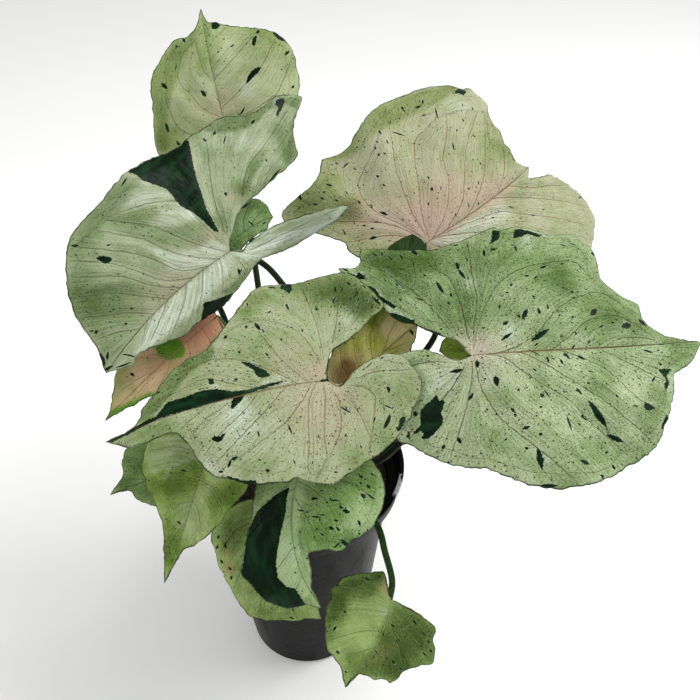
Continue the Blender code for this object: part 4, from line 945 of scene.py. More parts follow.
def dash_places(sheet, corners, dashes):
    """For each face's corners, the place on the nearest dash: along and across it, 1 at its ends and
    sides, and a number that is the dash's own."""
    result = np.full(corners.shape[:2] + (3,), FAR_FROM_DASH)
    result[..., 2] = 0.0
    middles = corners.mean(axis=1)
    best = np.full(len(corners), DASH_REACH)
    for own, (*ends, width) in enumerate(dashes):
        a, b = sheet.places(ends)
        half = 0.5 * np.linalg.norm(b - a)
        way = (b - a) / (2 * half)
        near = apart(middles, np.array([a, b]))
        nearer = near < best
        best = np.where(nearer, near, best)
        offset = corners[nearer] - 0.5 * (a + b)
        wide = width * sheet.view_unit
        result[nearer, :, 0] = offset @ way / (half + 0.3 * wide)
        result[nearer, :, 1] = offset @ (-way[1], way[0]) / (0.5 * wide)
        result[nearer, :, 2] = own
    return result


def relief(places, turn, gap, edge, rib, along):
    """Height of the blade's skin off its sheet at each place, in millimetres: swollen between the veins,
    puckered, curled and ruffled at the margin, and sunk along the midrib."""
    swell = np.sin(np.pi * turn) ** 2 * faded(gap, LOBE_GAP)
    swell *= faded(edge, QUILT_EDGE) * faded(along, QUILT_JOINT) * faded(rib, QUILT_RIB)
    puckers = np.array([wave(s * 0.16, t * 0.16, 7.0) + 0.6 * wave(s * 0.4, t * 0.4, 3.0) for s, t in places])
    ruffle = np.array([wave(s * 0.11, t * 0.11, 1.0) for s, t in places])
    lift = QUILT_RISE * swell + PUCKER_RISE * puckers - MARGIN_CURL * np.exp(-edge / CURL_REACH)
    lift += MARGIN_RUFFLE * ruffle * np.exp(-edge / RUFFLE_REACH) * faded(along, RUFFLE_JOINT)
    return lift - MIDRIB_SINK * np.exp(-(rib / MIDRIB_REACH) ** 2)


def quads(index, around=(0, 0)):
    """Faces over a grid of point numbers, which may close on itself in either direction."""
    index = np.pad(index, [(0, more) for more in around], mode="wrap")
    corners = [index[:-1, :-1], index[:-1, 1:], index[1:, 1:], index[1:, :-1]]
    return np.stack(corners, axis=-1).reshape(-1, 4)


def new_mesh(name, points, faces):
    """A mesh from its points and faces."""
    mesh = bpy.data.meshes.new(name)
    mesh.from_pydata(points, [], faces)
    return mesh


def carry(mesh, label, values, kind="FLOAT", domain="CORNER"):
    """Gives a mesh a named field for its materials to read."""
    layer = mesh.attributes.new(label, kind, domain)
    layer.data.foreach_set("value" if kind == "FLOAT" else "vector", values.ravel().astype(np.float32))


def join_points(mesh, gap, closed=False):
    """Merges points that are within a gap of each other, and turns a closed mesh's faces outwards."""
    bm = bmesh.new()
    bm.from_mesh(mesh)
    bmesh.ops.remove_doubles(bm, verts=bm.verts, dist=gap)
    bmesh.ops.dissolve_degenerate(bm, edges=bm.edges, dist=gap)
    if closed:
        bmesh.ops.recalc_face_normals(bm, faces=bm.faces)
    for face in bm.faces:
        face.smooth = True
    bm.to_mesh(mesh)
    bm.free()


def blade_mesh(name, sheet):
    """The curved sheet of one blade, which carries its veins, splashes and tones."""
    marks = SPLASHES.get(name, {})
    across_mm, rows = sheet.leaf["mesh"]
    grids = [half_sheet(sheet, side, across_mm, rows) for side in SIDES]
    flats = [grid.reshape(-1, 2) for grid in grids]
    places = np.vstack(flats)
    veins = [venation(sheet, name, side, flat) for side, flat in zip(SIDES, flats)]
    turn, gap = (np.concatenate(part) for part in zip(*veins))
    edge = np.minimum(*(apart(places, grid[:, -1]) for grid in grids))
    rib = apart(places, sheet.rib)
    along = np.linalg.norm(places, axis=1)
    points = sheet.points(places[:, 0], places[:, 1], relief(places, turn, gap, edge, rib, along))
    numbers = np.arange(len(places))
    left, right = (part.reshape(-1, rows + 1) for part in np.split(numbers, [len(flats[0])]))
    faces = np.vstack([quads(left)[:, ::-1], quads(right)])
    mesh = new_mesh("leaf_" + name, points.tolist(), faces.tolist())
    splash = np.full(len(places), FAR_FROM_SPLASH)
    for blot in marks.get("blots", ()):
        splash = np.minimum(splash, outside(places, sheet.places(blot)))
    fields = dict(turn=turn, gap=gap, along=along, edge=edge, rib=rib, splash=splash)
    for tone in ("green", "blush", "silver"):
        fields[tone] = tones(sheet, places, marks.get(tone, ()))
    for label, values in fields.items():
        carry(mesh, label, values[faces])
    carry(mesh, "flat", np.dstack([places[faces], np.zeros(faces.shape)]), "FLOAT_VECTOR")
    carry(mesh, "dash", dash_places(sheet, places[faces], marks.get("dashes", ())), "FLOAT_VECTOR")
    join_points(mesh, MERGE)
    return mesh


def blade_piece(name, sheet):
    """The blade of one leaf, with its upper side, its underside and its thickness."""
    looks = leaf_material(name), leaf_material(name, under=True)
    piece = new_piece("leaf_" + name, blade_mesh(name, sheet), *looks)
    thick = piece.modifiers.new("Thickness", "SOLIDIFY")
    thick.thickness = BLADE_THICKNESS
    thick.offset = 0.0
    thick.material_offset = 1
    thick.material_offset_rim = 1
    return piece


def linear(colour):
    """A colour seen as 0 to 255, as the light values that a shader takes."""
    shares = [part / 255 for part in colour]
    return tuple(share / 12.92 if share <= 0.04045 else ((share + 0.055) / 1.055) ** 2.4
                 for share in shares) + (1.0,)


def put(tree, socket, value):
    """Sets a socket to a number or colour, or links it to another socket."""
    if isinstance(value, bpy.types.NodeSocket):
        tree.links.new(value, socket)
    else:
        socket.default_value = value


def put_all(tree, sockets, **values):
    """Sets or links sockets by name, an underscore standing for a space."""
    for label, value in values.items():
        put(tree, sockets[label.replace("_", " ")], value)


def node_of(kind, **settings):
    """A function that adds one kind of node to a tree and returns its first output."""
    def add(tree, *values):
        node = tree.nodes.new(kind)
        for label, setting in settings.items():
            setattr(node, label, setting)
        for socket, value in zip(node.inputs, values):
            put(tree, socket, value)
        return node.outputs[0]
    return add


plus, minus, times, over, power, larger, exceeds, times_plus, unsigned, cosine, fraction = (
    node_of("ShaderNodeMath", operation=sum_name)
    for sum_name in ("ADD", "SUBTRACT", "MULTIPLY", "DIVIDE", "POWER", "MAXIMUM", "GREATER_THAN",
                     "MULTIPLY_ADD", "ABSOLUTE", "COSINE", "FRACT"))
scaled = node_of("ShaderNodeVectorMath", operation="MULTIPLY")
moved = node_of("ShaderNodeVectorMath", operation="MULTIPLY_ADD")
joined = node_of("ShaderNodeCombineXYZ")


def between(tree, value, low, high, to_low=0.0, to_high=1.0):
    """Smooth step of a value from low to high."""
    node = tree.nodes.new("ShaderNodeMapRange")
    node.interpolation_type = "SMOOTHSTEP"
    put_all(tree, node.inputs, Value=value, From_Min=low, From_Max=high, To_Min=to_low, To_Max=to_high)
    return node.outputs["Result"]


def below(tree, value, low, high):
    """1 where a value is under low, falling smoothly to 0 at high."""
    return minus(tree, 1.0, between(tree, value, low, high))


def mixed(tree, share, a, b):
    """Two colours mixed. Each is another node's, or is as seen, 0 to 255."""
    node = tree.nodes.new("ShaderNodeMix")
    node.data_type = "RGBA"
    node.clamp_factor = True
    put(tree, node.inputs["Factor"], share)
    colours = [socket for socket in node.inputs if socket.type == "RGBA"]
    for socket, colour in zip(colours, (a, b)):
        put(tree, socket, colour if isinstance(colour, bpy.types.NodeSocket) else linear(colour))
    return next(socket for socket in node.outputs if socket.type == "RGBA")


def noise_node(tree, where, scale, detail=2.0, rough=0.5):
    """A Noise Texture over a place."""
    node = tree.nodes.new("ShaderNodeTexNoise")
    put_all(tree, node.inputs, Vector=where, Scale=scale, Detail=detail, Roughness=rough)
    return node.outputs


def clouds(tree, where, scale, detail=3.0, rough=0.5):
    """Noise from 0 to 1 over a place."""
    return noise_node(tree, where, scale, detail, rough)["Fac"]


def warped(tree, where, scale, by):
    """A place moved about by so much."""
    return moved(tree, noise_node(tree, where, scale)["Color"], (by, by, 0.0), where)


def cells(tree, where, scale, feature="F1"):
    """Scattered cells over a place."""
    node = tree.nodes.new("ShaderNodeTexVoronoi")
    node.voronoi_dimensions = "2D"
    node.feature = feature
    put_all(tree, node.inputs, Vector=where, Scale=scale)
    return node.outputs


def parts(tree, kind, value):
    """A vector or a colour taken apart."""
    node = tree.nodes.new(kind)
    tree.links.new(value, node.inputs[0])
    return node.outputs


def field(tree, name, kind="Fac"):
    """What a mesh carries under a name."""
    node = tree.nodes.new("ShaderNodeAttribute")
    node.attribute_name = name
    return node.outputs[kind]


def new_group(name, inputs, outputs):
    """An empty node group with named sockets: {name: starting value} in, names out."""
    tree = bpy.data.node_groups.new(name, "ShaderNodeTree")
    for label, value in inputs.items():
        kind = "NodeSocketVector" if isinstance(value, tuple) else "NodeSocketFloat"
        socket = tree.interface.new_socket(label, in_out="INPUT", socket_type=kind)
        socket.default_value = value
    for label in outputs:
        tree.interface.new_socket(label, in_out="OUTPUT", socket_type="NodeSocketFloat")
    source = tree.nodes.new("NodeGroupInput")
    sink = tree.nodes.new("NodeGroupOutput")
    return tree, source.outputs, sink.inputs


def use(tree, group, **values):
    """A node group placed in a material, with its inputs set. Returns its outputs."""
    node = tree.nodes.new("ShaderNodeGroup")
    node.node_tree = group
    put_all(tree, node.inputs, **values)
    return node.outputs


def line_mask(tree, away, width):
    """1 on a line and 0 off it, from the distance to its middle and its width."""
    return below(tree, away, times(tree, width, 0.2), times(tree, width, 0.8))


def away_from_count(tree, count, gap):
    """Distance in millimetres to where a running count is a whole number."""
    shifted = fraction(tree, plus(tree, count, 0.5))
    return times(tree, unsigned(tree, minus(tree, shifted, 0.5)), gap)


def wavered(tree, count, gap, flat, scale, by):
    """A running count shifted a little, by so many millimetres, so that its lines waver."""
    shift = times(tree, minus(tree, clouds(tree, flat, scale, 2.0), 0.5), by)
    return plus(tree, count, over(tree, shift, larger(tree, gap, 4.0)))


def side_veins(tree, given, width):
    """The side veins, at whole counts, and the vein that runs inside the margin in scallops."""
    gap, edge = given["Gap"], given["Edge"]
    count = wavered(tree, given["Turn"], gap, given["Flat"], 0.3, 1.6)
    thin = between(tree, given["Along"], 0.0, 70.0, 1.0, 0.6)
    side = line_mask(tree, away_from_count(tree, count, gap), times(tree, width, thin))
    side = times(tree, side, between(tree, edge, 1.5, 6.0))
    scallop = times(tree, cosine(tree, times(tree, count, 2 * math.pi)), 1.1)
    rim = unsigned(tree, minus(tree, edge, plus(tree, scallop, 5.2)))
    ring = line_mask(tree, rim, times(tree, width, 0.7))
    ring = times(tree, ring, between(tree, given["Rib"], 3.0, 8.0))
    return larger(tree, side, times(tree, ring, 0.5))


def fine_lines(tree, given):
    """Finer lines between the side veins, more of them where the gap is wide, broken here and there."""
    gap = given["Gap"]
    count = wavered(tree, given["Turn"], gap, given["Flat"], 0.55, 1.1)
    fine = 0.0
    for lines, low, high in ((4.0, 3.0, 6.0), (8.0, 7.0, 12.0), (16.0, 16.0, 24.0)):
        away = away_from_count(tree, times(tree, count, lines), times(tree, gap, 1.0 / lines))
        line = times(tree, line_mask(tree, away, 0.36), between(tree, gap, low, high))
        fine = larger(tree, fine, line)
    drawn = joined(tree, times(tree, count, 8.0), times(tree, given["Along"], 0.12))
    broken = between(tree, clouds(tree, drawn, 0.9), 0.36, 0.6)
    return times(tree, times(tree, fine, broken), between(tree, given["Edge"], 0.5, 3.0))


def make_vein_group():
    """Side veins, the finer lines between them, the net between those, and the midrib."""
    tree, given, result = new_group(
        "Leaf veins", {"Flat": (0.0, 0.0, 0.0), "Turn": 0.0, "Gap": 10.0, "Along": 0.0, "Edge": 10.0,
                       "Rib": 10.0, "Vein Width": 0.62, "Midrib Width": 0.8},
        ["Side Veins", "Fine Lines", "Net", "Midrib", "Height"])
    whole = side_veins(tree, given, given["Vein Width"])
    fine = fine_lines(tree, given)
    mesh = cells(tree, warped(tree, given["Flat"], 0.5, 1.2), 0.5, "DISTANCE_TO_EDGE")["Distance"]
    net = below(tree, mesh, 0.02, 0.12)
    narrow = between(tree, given["Edge"], 0.0, 30.0, 0.35, 1.0)
    midrib = line_mask(tree, given["Rib"], times(tree, given["Midrib Width"], narrow))
    height = times_plus(tree, whole, -1.0, times(tree, fine, -0.5))
    height = times_plus(tree, net, -0.25, height)
    height = times_plus(tree, midrib, -1.2, height)
    put_all(tree, result, Side_Veins=whole, Fine_Lines=fine, Net=net, Midrib=midrib, Height=height)
    return tree


def make_splash_group():
    """Splash masks from the distance to the large outlines and the place on the nearest dash, with
    ragged edges and a silver halo, and the clouds of painted sheen over the splashes."""
    tree, given, result = new_group(
        "Leaf splashes",
        {"Flat": (0.0, 0.0, 0.0), "Distance": 10.0, "Dash": (9.0, 9.0, 0.0), "Ragged": 1.0},
        ["Splash", "Halo", "Sheen"])
    flat, ragged = given["Flat"], given["Ragged"]
    rough = minus(tree, clouds(tree, flat, 0.9, 4.0, 0.65), 0.5)
    away = times_plus(tree, rough, times(tree, ragged, 2.2), given["Distance"])
    blot = below(tree, away, -0.14, 0.10)
    along, across, _ = parts(tree, "ShaderNodeSeparateXYZ", given["Dash"])
    far = plus(tree, power(tree, unsigned(tree, along), 2.0), unsigned(tree, across))
    far = times_plus(tree, rough, times(tree, ragged, 1.5), far)
    splash = larger(tree, blot, below(tree, far, 0.80, 1.12))
    wide = larger(tree, below(tree, away, 0.2, 3.4), below(tree, far, 1.0, 3.0))
    patchy = between(tree, clouds(tree, flat, 0.16, 2.0), 0.50, 0.64)
    halo = times(tree, times(tree, wide, patchy), minus(tree, 1.0, splash))
    sheen = between(tree, clouds(tree, scaled(tree, flat, (0.4, 1.0, 1.0)), 0.22, 4.0), 0.42, 0.7)
    put_all(tree, result, Splash=splash, Halo=halo, Sheen=sheen)
    return tree


def dots(tree, where, scale, small, large, chance):
    """Scattered dots: cells to the unit, their radii in cells, and the chance that a cell has one."""
    found = cells(tree, where, scale)
    luck = parts(tree, "ShaderNodeSeparateColor", found["Color"])
    size = times_plus(tree, power(tree, luck[1], 2.0), large - small, small)
    dot = below(tree, found["Distance"], times(tree, size, 0.7), times(tree, size, 1.2))
    return times(tree, dot, exceeds(tree, chance, luck[0]))


def make_speck_group():
    """Fine dark specks in drifts, and larger flecks drawn out along the veins."""
    tree, given, result = new_group(
        "Leaf specks", {"Flat": (0.0, 0.0, 0.0), "Turn": 0.0, "Along": 0.0, "Amount": 0.5},
        ["Specks", "Flecks"])
    flat = warped(tree, given["Flat"], 1.4, 0.7)
    drift = between(tree, clouds(tree, given["Flat"], 0.07), 0.36, 0.64, 0.4, 1.0)
    wanted = times(tree, given["Amount"], drift)
    fine = dots(tree, flat, 1.05, 0.17, 0.37, times(tree, wanted, 0.45))
    coarse = dots(tree, flat, 0.40, 0.12, 0.22, times(tree, wanted, 0.50))
    drawn = joined(tree, times(tree, given["Turn"], 5.0), times(tree, given["Along"], 0.22))
    flecks = dots(tree, warped(tree, drawn, 3.0, 0.25), 1.0, 0.08, 0.24, times(tree, wanted, 0.22))
    put_all(tree, result, Specks=larger(tree, fine, coarse), Flecks=flecks)
    return tree


def make_tone_group():
    """Clouding over the whole blade and streaks along its veins."""
    tree, given, result = new_group(
        "Leaf tones", {"Flat": (0.0, 0.0, 0.0), "Turn": 0.0, "Along": 0.0},
        ["Cloud", "Streak", "Mottle", "Grain"])
    flat = given["Flat"]
    cloud = between(tree, clouds(tree, flat, 0.045, 5.0, 0.62), 0.38, 0.66)
    drawn = joined(tree, times(tree, given["Turn"], 7.0), times(tree, given["Along"], 0.05))
    streak = between(tree, clouds(tree, drawn, 1.0, 5.0, 0.65), 0.36, 0.66)
    mottle = between(tree, clouds(tree, flat, 0.7, 4.0, 0.7), 0.3, 0.7)
    grain = clouds(tree, warped(tree, flat, 0.9, 1.0), 1.0, 3.0, 0.7)
    grain = between(tree, grain, 0.34, 0.66, -1.0, 1.0)
    put_all(tree, result, Cloud=cloud, Streak=streak, Mottle=mottle, Grain=grain)
    return tree


def new_material(name, specular=0.5):
    """An empty material: its tree and its shader."""
    look = bpy.data.materials.new(name)
    look.use_nodes = True
    shader = look.node_tree.nodes["Principled BSDF"]
    shader.inputs["Specular IOR Level"].default_value = specular
    return look, look.node_tree, shader


def surface(tree, shader, colour, rough, height, distance):
    """A shader's colour, roughness and relief, which is so many metres deep."""
    node = tree.nodes.new("ShaderNodeBump")
    put_all(tree, node.inputs, Distance=distance, Height=height)
    put_all(tree, shader.inputs, Base_Color=colour, Roughness=rough, Normal=node.outputs["Normal"])


def ground_colour(tree, tint, habit, tone):
    """A leaf's colour before its veins and splashes: pale, green and deep, blushed at the joint. The
    green tone and the blush also carry painted shade.
    """
    green = field(tree, "green")
    shade = times(tree, tone["Cloud"], habit["cloud"])
    shade = times_plus(tree, tone["Streak"], habit["streak"], shade)
    shade = plus(tree, shade, green)
    grainy = times_plus(tree, larger(tree, green, 0.0), 0.10, habit["grain"])
    shade = times_plus(tree, tone["Grain"], grainy, shade)
    colour = mixed(tree, times(tree, shade, 2.0), tint["pale"], tint["green"])
    colour = mixed(tree, times_plus(tree, shade, 2.0, -1.0), colour, tint["deep"])
    return mixed(tree, field(tree, "blush"), colour, tint["blush"])


def leaf_colour(tree, tint, habit, tone, vein, mark, speck):
    """A leaf's colour: its ground, then silver, partly painted highlight and sheen, mottling, veins,
    specks, splashes and midrib.
    """
    colour = ground_colour(tree, tint, habit, tone)
    # Silver tone, partly painted highlight and sheen, with the halos round the splashes
    silver = times(tree, field(tree, "silver"), between(tree, tone["Streak"], 0.0, 0.8, 1.0, 0.35))
    silver = larger(tree, silver, times(tree, mark["Halo"], HALO_STRENGTH))
    layers = [(silver, HALO_SILVER), (times(tree, tone["Mottle"], MOTTLE_STRENGTH), tint["deep"])]
    for label, strength in VEIN_STRENGTHS.items():
        layers.append((times(tree, vein[label], strength * habit["lines"]), tint["vein"]))
    # The splashes' dark green, clouded with painted sheen
    dark = mixed(tree, mark["Sheen"], SPLASH_DARK, SPLASH_SHEEN)
    layers += [
        (times(tree, speck["Specks"], SPECK_STRENGTH), SPECK_DARK),
        (larger(tree, mark["Splash"], speck["Flecks"]), dark),
        (times(tree, vein["Midrib"], habit["lines"]), tint["rib"]),
    ]
    for share, paint in layers:
        colour = mixed(tree, share, colour, paint)
    return colour


def leaf_material(name, under=False):
    """One leaf's own colours, veins, splashes and specks. The underside is duller and greener."""
    tint, habit = dict(zip(TINT_NAMES, TINTS[name])), dict(zip(HABIT_NAMES, HABITS[name]))
    look, tree, shader = new_material(("underside " if under else "leaf ") + name, 0.06)
    flat, turn, along = field(tree, "flat", "Vector"), field(tree, "turn"), field(tree, "along")
    edge = field(tree, "edge")
    tone = use(tree, GROUPS["tones"], Flat=flat, Turn=turn, Along=along)
    vein = use(tree, GROUPS["veins"], Flat=flat, Turn=turn, Gap=field(tree, "gap"), Along=along, Edge=edge,
               Rib=field(tree, "rib"))
    mark = use(tree, GROUPS["splashes"], Flat=flat, Distance=field(tree, "splash"),
               Dash=field(tree, "dash", "Vector"))
    dense = plus(tree, field(tree, "green"), habit["specks"])
    speck = use(tree, GROUPS["specks"], Flat=flat, Turn=turn, Along=along, Amount=dense)
    colour = leaf_colour(tree, tint, habit, tone, vein, mark, speck)
    if under:
        colour = mixed(tree, 0.35, colour, UNDERSIDE_GREEN)
    # Dark line along the margin, in patches: partly the blade's edge seen side-on, partly painted shade of
    # its thickness and lower edges
    edge_line_and_shade_patches = between(tree, clouds(tree, flat, 0.12), 0.40, 0.60, 0.45, 1.0)
    colour = mixed(tree, times(tree, below(tree, edge, 0.2, 0.9), edge_line_and_shade_patches), colour, EDGE_DARK)
    rough = times_plus(tree, tone["Mottle"], 0.1, 0.56 if under else 0.42)
    rough = times_plus(tree, mark["Splash"], -0.08, rough)
    height = times_plus(tree, clouds(tree, flat, 1.5, 4.0, 0.65), 0.6, vein["Height"])
    height = times(tree, height, times_plus(tree, mark["Splash"], -0.7, 1.0))
    if under:
        height = times(tree, height, -1.0)
    surface(tree, shader, colour, rough, height, 0.00035)
    return look


def new_piece(name, mesh, *looks):
    """A piece from a mesh and its materials."""
    piece = bpy.data.objects.new(name, mesh)
    mesh.materials.clear()
    for look in looks:
        mesh.materials.append(look)
    bpy.context.scene.collection.objects.link(piece)
    return piece


def sweep(name, path, radii, look, sides=14):
    """A round, tapering body along a path, with its length for the material to read."""
    path, radii = np.asarray(path, float), np.asarray(radii, float)
    heading = np.gradient(path, axis=0)
    heading /= np.linalg.norm(heading, axis=1, keepdims=True)
    side = np.cross(heading[0], (0.0, 1.0, 0.0))
    rings = []
    angles = np.linspace(0.0, 2 * math.pi, sides, endpoint=False)
    for at, way, radius in zip(path, heading, radii):
        side = side - way * (side @ way)
        side /= np.linalg.norm(side)
        up = np.cross(way, side)
        rings.append(at + radius * (np.cos(angles)[:, None] * side + np.sin(angles)[:, None] * up))
    index = np.arange(len(path) * sides).reshape(len(path), sides)
    after = np.roll(index, -1, axis=1)
    faces = quads(index, around=(0, 1)).tolist()
    faces += [[index.size, b, a] for a, b in zip(index[0], after[0])]
    faces += [[index.size + 1, a, b] for a, b in zip(index[-1], after[-1])]
    mesh = new_mesh(name, np.vstack(rings + [path[:1], path[-1:]]).tolist(), faces)
    mesh.polygons.foreach_set("use_smooth", [True] * len(mesh.polygons))
    along = walked(path) / MM
    carry(mesh, "along", np.append(np.repeat(along, sides), [0.0, along[-1]]), domain="POINT")
    return new_piece(name, mesh, look)


def soil_height(x, y):
    """Height of the soil's surface: a low dome."""
    return SOIL_TOP + SOIL_DOME * (1 - (math.hypot(x, y) / POT_SHOULDER_RADIUS) ** 2)


def stalk_line(leaf, sheet):
    """Middle line of a stalk, as in the CAD model: from the soil to just under the joint."""
    x, y = leaf["root"]
    foot = np.array((x, y, soil_height(x, y) + 2 * CLEARANCE))
    via = [sight(*p) for p in reversed(leaf["route"])]
    lean = STALK_LEAN * (via[0] - foot)
    rise = foot + (lean[0], lean[1], STALK_RISE)
    slope = np.cross(sheet.points(1.5, 0.0) - sheet.points(-1.5, 0.0),
                     sheet.points(0.0, 1.5) - sheet.points(0.0, -1.5))
    under = slope / np.linalg.norm(slope)
    joint = sheet.points(0.0, 0.0)
    last = (joint - via[-1]) / np.linalg.norm(joint - via[-1])
    slant = math.sqrt(max(0.0, 1.0 - (last @ under) ** 2))
    end = joint - under * (0.5 * CAD_BLADE_THICKNESS + 1.5 * CLEARANCE + STALK_TIP_RADIUS * slant)
    return smooth([foot, foot + (0.0, 0.0, 0.006), rise] + via + [end], STALK_STEPS)


def stalk_piece(name, leaf, sheet):
    """A leaf's stalk, from inside the soil to the joint, and on under the blade as its midrib."""
    stalk = stalk_line(leaf, sheet)
    buried = stalk[0] - [(0.0, 0.0, depth) for depth in STALK_BURIED]
    shares = np.linspace(RIDGE_START, RIDGE_END, RIDGE_POINTS)
    thick, thin = RIDGE_RADII
    ridge_radii = thin + (thick - thin) * ((RIDGE_END - shares) / (RIDGE_END - RIDGE_START)) ** 0.8
    places = sheet.midrib(shares)
    sunk = (ridge_radii + MIDRIB_SINK * MM)[:, None]
    ridge = sheet.points(places[:, 0], places[:, 1]) - sheet.normal * sunk
    standing = np.vstack([buried, stalk])
    taper = (0.0, walked(stalk)[-1]), (STALK_RADIUS, STALK_TIP_RADIUS)
    radii = np.concatenate([np.interp(walked(standing), *taper), ridge_radii])
    path = np.column_stack([np.vstack([standing, ridge]), radii])
    bend = len(standing) - 6
    path = np.vstack([path[:bend], smooth(path[bend:], 2)])
    # Stalks in front are painted lit, the others painted in shade
    look = LOOKS["lit_stalk" if name in LIT_STALKS else "stalk"]
    return sweep("petiole_" + name, path[:, :3], path[:, 3], look)


def stem_piece(name, place):
    """A short stem, its leaf scars as low rings, rounded off at its top."""
    x, y = place
    path, radii = [], []
    for k in range(STEM_STEPS + 1):
        h = k / STEM_STEPS
        path.append((x, y, soil_height(x, y) - STEM_BURIED + h * (STEM_HEIGHT + STEM_BURIED)))
        scar = 0.05 * max(0.0, math.cos(h * 2 * math.pi * STEM_SCARS)) ** 6
        top = max(0.0, (h - 0.82) / 0.18)
        radii.append(STEM_RADIUS * (1.0 - 0.10 * h + scar) * math.sqrt(max(0.02, 1.0 - top ** 2)))
    return sweep("shoot_" + name, path, radii, LOOKS["stem"])


def lathe(name, profile, segments):
    """Mesh of revolution from a closed outline of (radius, height) points."""
    points = [(r * math.cos(a), r * math.sin(a), z)
              for a in np.linspace(0.0, 2 * math.pi, segments, endpoint=False) for r, z in profile]
    index = np.arange(len(points)).reshape(segments, len(profile))
    mesh = new_mesh(name, points, quads(index, around=(1, 1)).tolist())
    join_points(mesh, 1e-6, closed=True)
    return mesh


def wall_radius(z):
    """Outer radius of the pot's tapered wall under the collar."""
    return POT_BASE_RADIUS + (POT_SHOULDER_RADIUS - POT_BASE_RADIUS) * z / POT_SHOULDER


def rounded(profile, radius, steps=4):
    """The outline with each of its corners off the axis rounded."""
    result = []
    for before, at, after in zip(profile[-1:] + profile[:-1], profile, profile[1:] + profile[:1]):
        at, a, b = np.array(at), np.array(before), np.array(after)
        room = min(np.linalg.norm(a - at), np.linalg.norm(b - at)) * 0.45
        size = min(radius, room)
        if at[0] < 1e-9 or size < 1e-5:
            result.append(tuple(at))
            continue
        start = at + (a - at) / np.linalg.norm(a - at) * size
        stop = at + (b - at) / np.linalg.norm(b - at) * size
        for k in range(steps + 1):
            f = k / steps
            result.append(tuple(start * (1 - f) ** 2 + 2 * at * f * (1 - f) + stop * f ** 2))
    return result


def pot_outline():
    """The pot's closed outline, from the lip down the outside, across the floor and up the inside."""
    w = POT_WALL
    lip = POT_HEIGHT - LIP_FOOT
    low_rim = POT_RIM_RADIUS - LIP_PROUD
    foot_rim = POT_RIM_RADIUS - COLLAR_TAPER
    return [
        (POT_RIM_RADIUS, POT_HEIGHT), (POT_RIM_RADIUS, POT_HEIGHT - LIP_HEIGHT), (low_rim, lip),
        (foot_rim, POT_SHOULDER), (POT_SHOULDER_RADIUS, POT_SHOULDER - 0.0005),
        (wall_radius(0.002), 0.002), (wall_radius(0.0) - 0.001, 0.0), (0.0, 0.0), (0.0, POT_FLOOR),
        (wall_radius(POT_FLOOR) - w - 0.001, POT_FLOOR),
        (wall_radius(POT_FLOOR + 0.002) - w, POT_FLOOR + 0.002),
        (POT_SHOULDER_RADIUS - w, POT_SHOULDER + w - 0.0005), (foot_rim - w, POT_SHOULDER + w),
        (low_rim - w, lip), (low_rim - w, POT_HEIGHT),
    ]


def hole_punch():
    """The ring of plugs that the drain holes are cut with."""
    plugs = bmesh.new()
    for k in range(DRAIN_HOLES):
        turn = math.radians(30 + 360 * k / DRAIN_HOLES)
        made = bmesh.ops.create_cone(plugs, cap_ends=True, segments=40, radius1=DRAIN_HOLE_RADIUS,
                                     radius2=DRAIN_HOLE_RADIUS, depth=0.02)
        move = Vector((DRAIN_HOLE_RING * math.cos(turn), DRAIN_HOLE_RING * math.sin(turn), 0.0))
        bmesh.ops.translate(plugs, verts=made["verts"], vec=move)
    mesh = bpy.data.meshes.new("drill")
    plugs.to_mesh(mesh)
    plugs.free()
    return new_piece("drill", mesh)


def pot_piece():
    """The nursery pot: collar with a rolled lip, tapered wall, and a floor with drain holes."""
    mesh = lathe("nursery_pot", rounded(pot_outline(), POT_ROUNDING), POT_SEGMENTS)
    body = new_piece("nursery_pot", mesh, LOOKS["plastic"])
    punch = hole_punch()
    cut = body.modifiers.new("Drain holes", "BOOLEAN")
    cut.operation = "DIFFERENCE"
    cut.solver = "EXACT"
    cut.object = punch
    bpy.context.view_layer.update()
    done = bpy.data.meshes.new_from_object(body.evaluated_get(bpy.context.evaluated_depsgraph_get()))
    body.modifiers.clear()
    body.data = done
    bpy.data.objects.remove(punch)
    for face in done.polygons:
        face.use_smooth = True
    done.set_sharp_from_angle(angle=SHARP_ANGLE)
    return body


def soil_skin(x, y, share=1.0):
    """Height of the soil with its crumbs, or a share of them, at a place."""
    crumbs = sum(size * wave(x * waves, y * waves, 0.0) for waves, size in CRUMBS)
    return soil_height(x, y) + SOIL_ROUGH * crumbs * share


def soil_surface(bm):
    """The lumpy top of the potting mix, its side against the wall, and its underside."""
    inner = POT_WALL + 1.2 * CLEARANCE
    edge = wall_radius(SOIL_TOP) - inner
    low = wall_radius(POT_FLOOR) - inner - 0.0013
    centre = bm.verts.new((0.0, 0.0, soil_skin(0.0, 0.0)))
    before = None
    for i in range(1, SOIL_RINGS + SOIL_SIDE_RINGS + 1):
        ring = []
        for k in range(SOIL_SPOKES):
            a = 2 * math.pi * k / SOIL_SPOKES
            r = edge * min(i, SOIL_RINGS) / SOIL_RINGS
            x, y = r * math.cos(a), r * math.sin(a)
            z = soil_skin(x, y, min(1.0, (edge - r) / 0.002 + 0.25))
            if i > SOIL_RINGS:
                share = (i - SOIL_RINGS) / SOIL_SIDE_RINGS
                r = edge + (low - edge) * share
                x, y, z = r * math.cos(a), r * math.sin(a), z + (POT_FLOOR + CLEARANCE - z) * share
            ring.append(bm.verts.new((x, y, z)))
        for k, n in zip(range(SOIL_SPOKES), [*range(1, SOIL_SPOKES), 0]):
            bm.faces.new((before[k], ring[k], ring[n], before[n]) if before else (centre, ring[k], ring[n]))
        before = ring
    bm.faces.new(before[::-1])


def turned(a, b, angle):
    """Two coordinates turned by an angle."""
    return a * math.cos(angle) - b * math.sin(angle), a * math.sin(angle) + b * math.cos(angle)


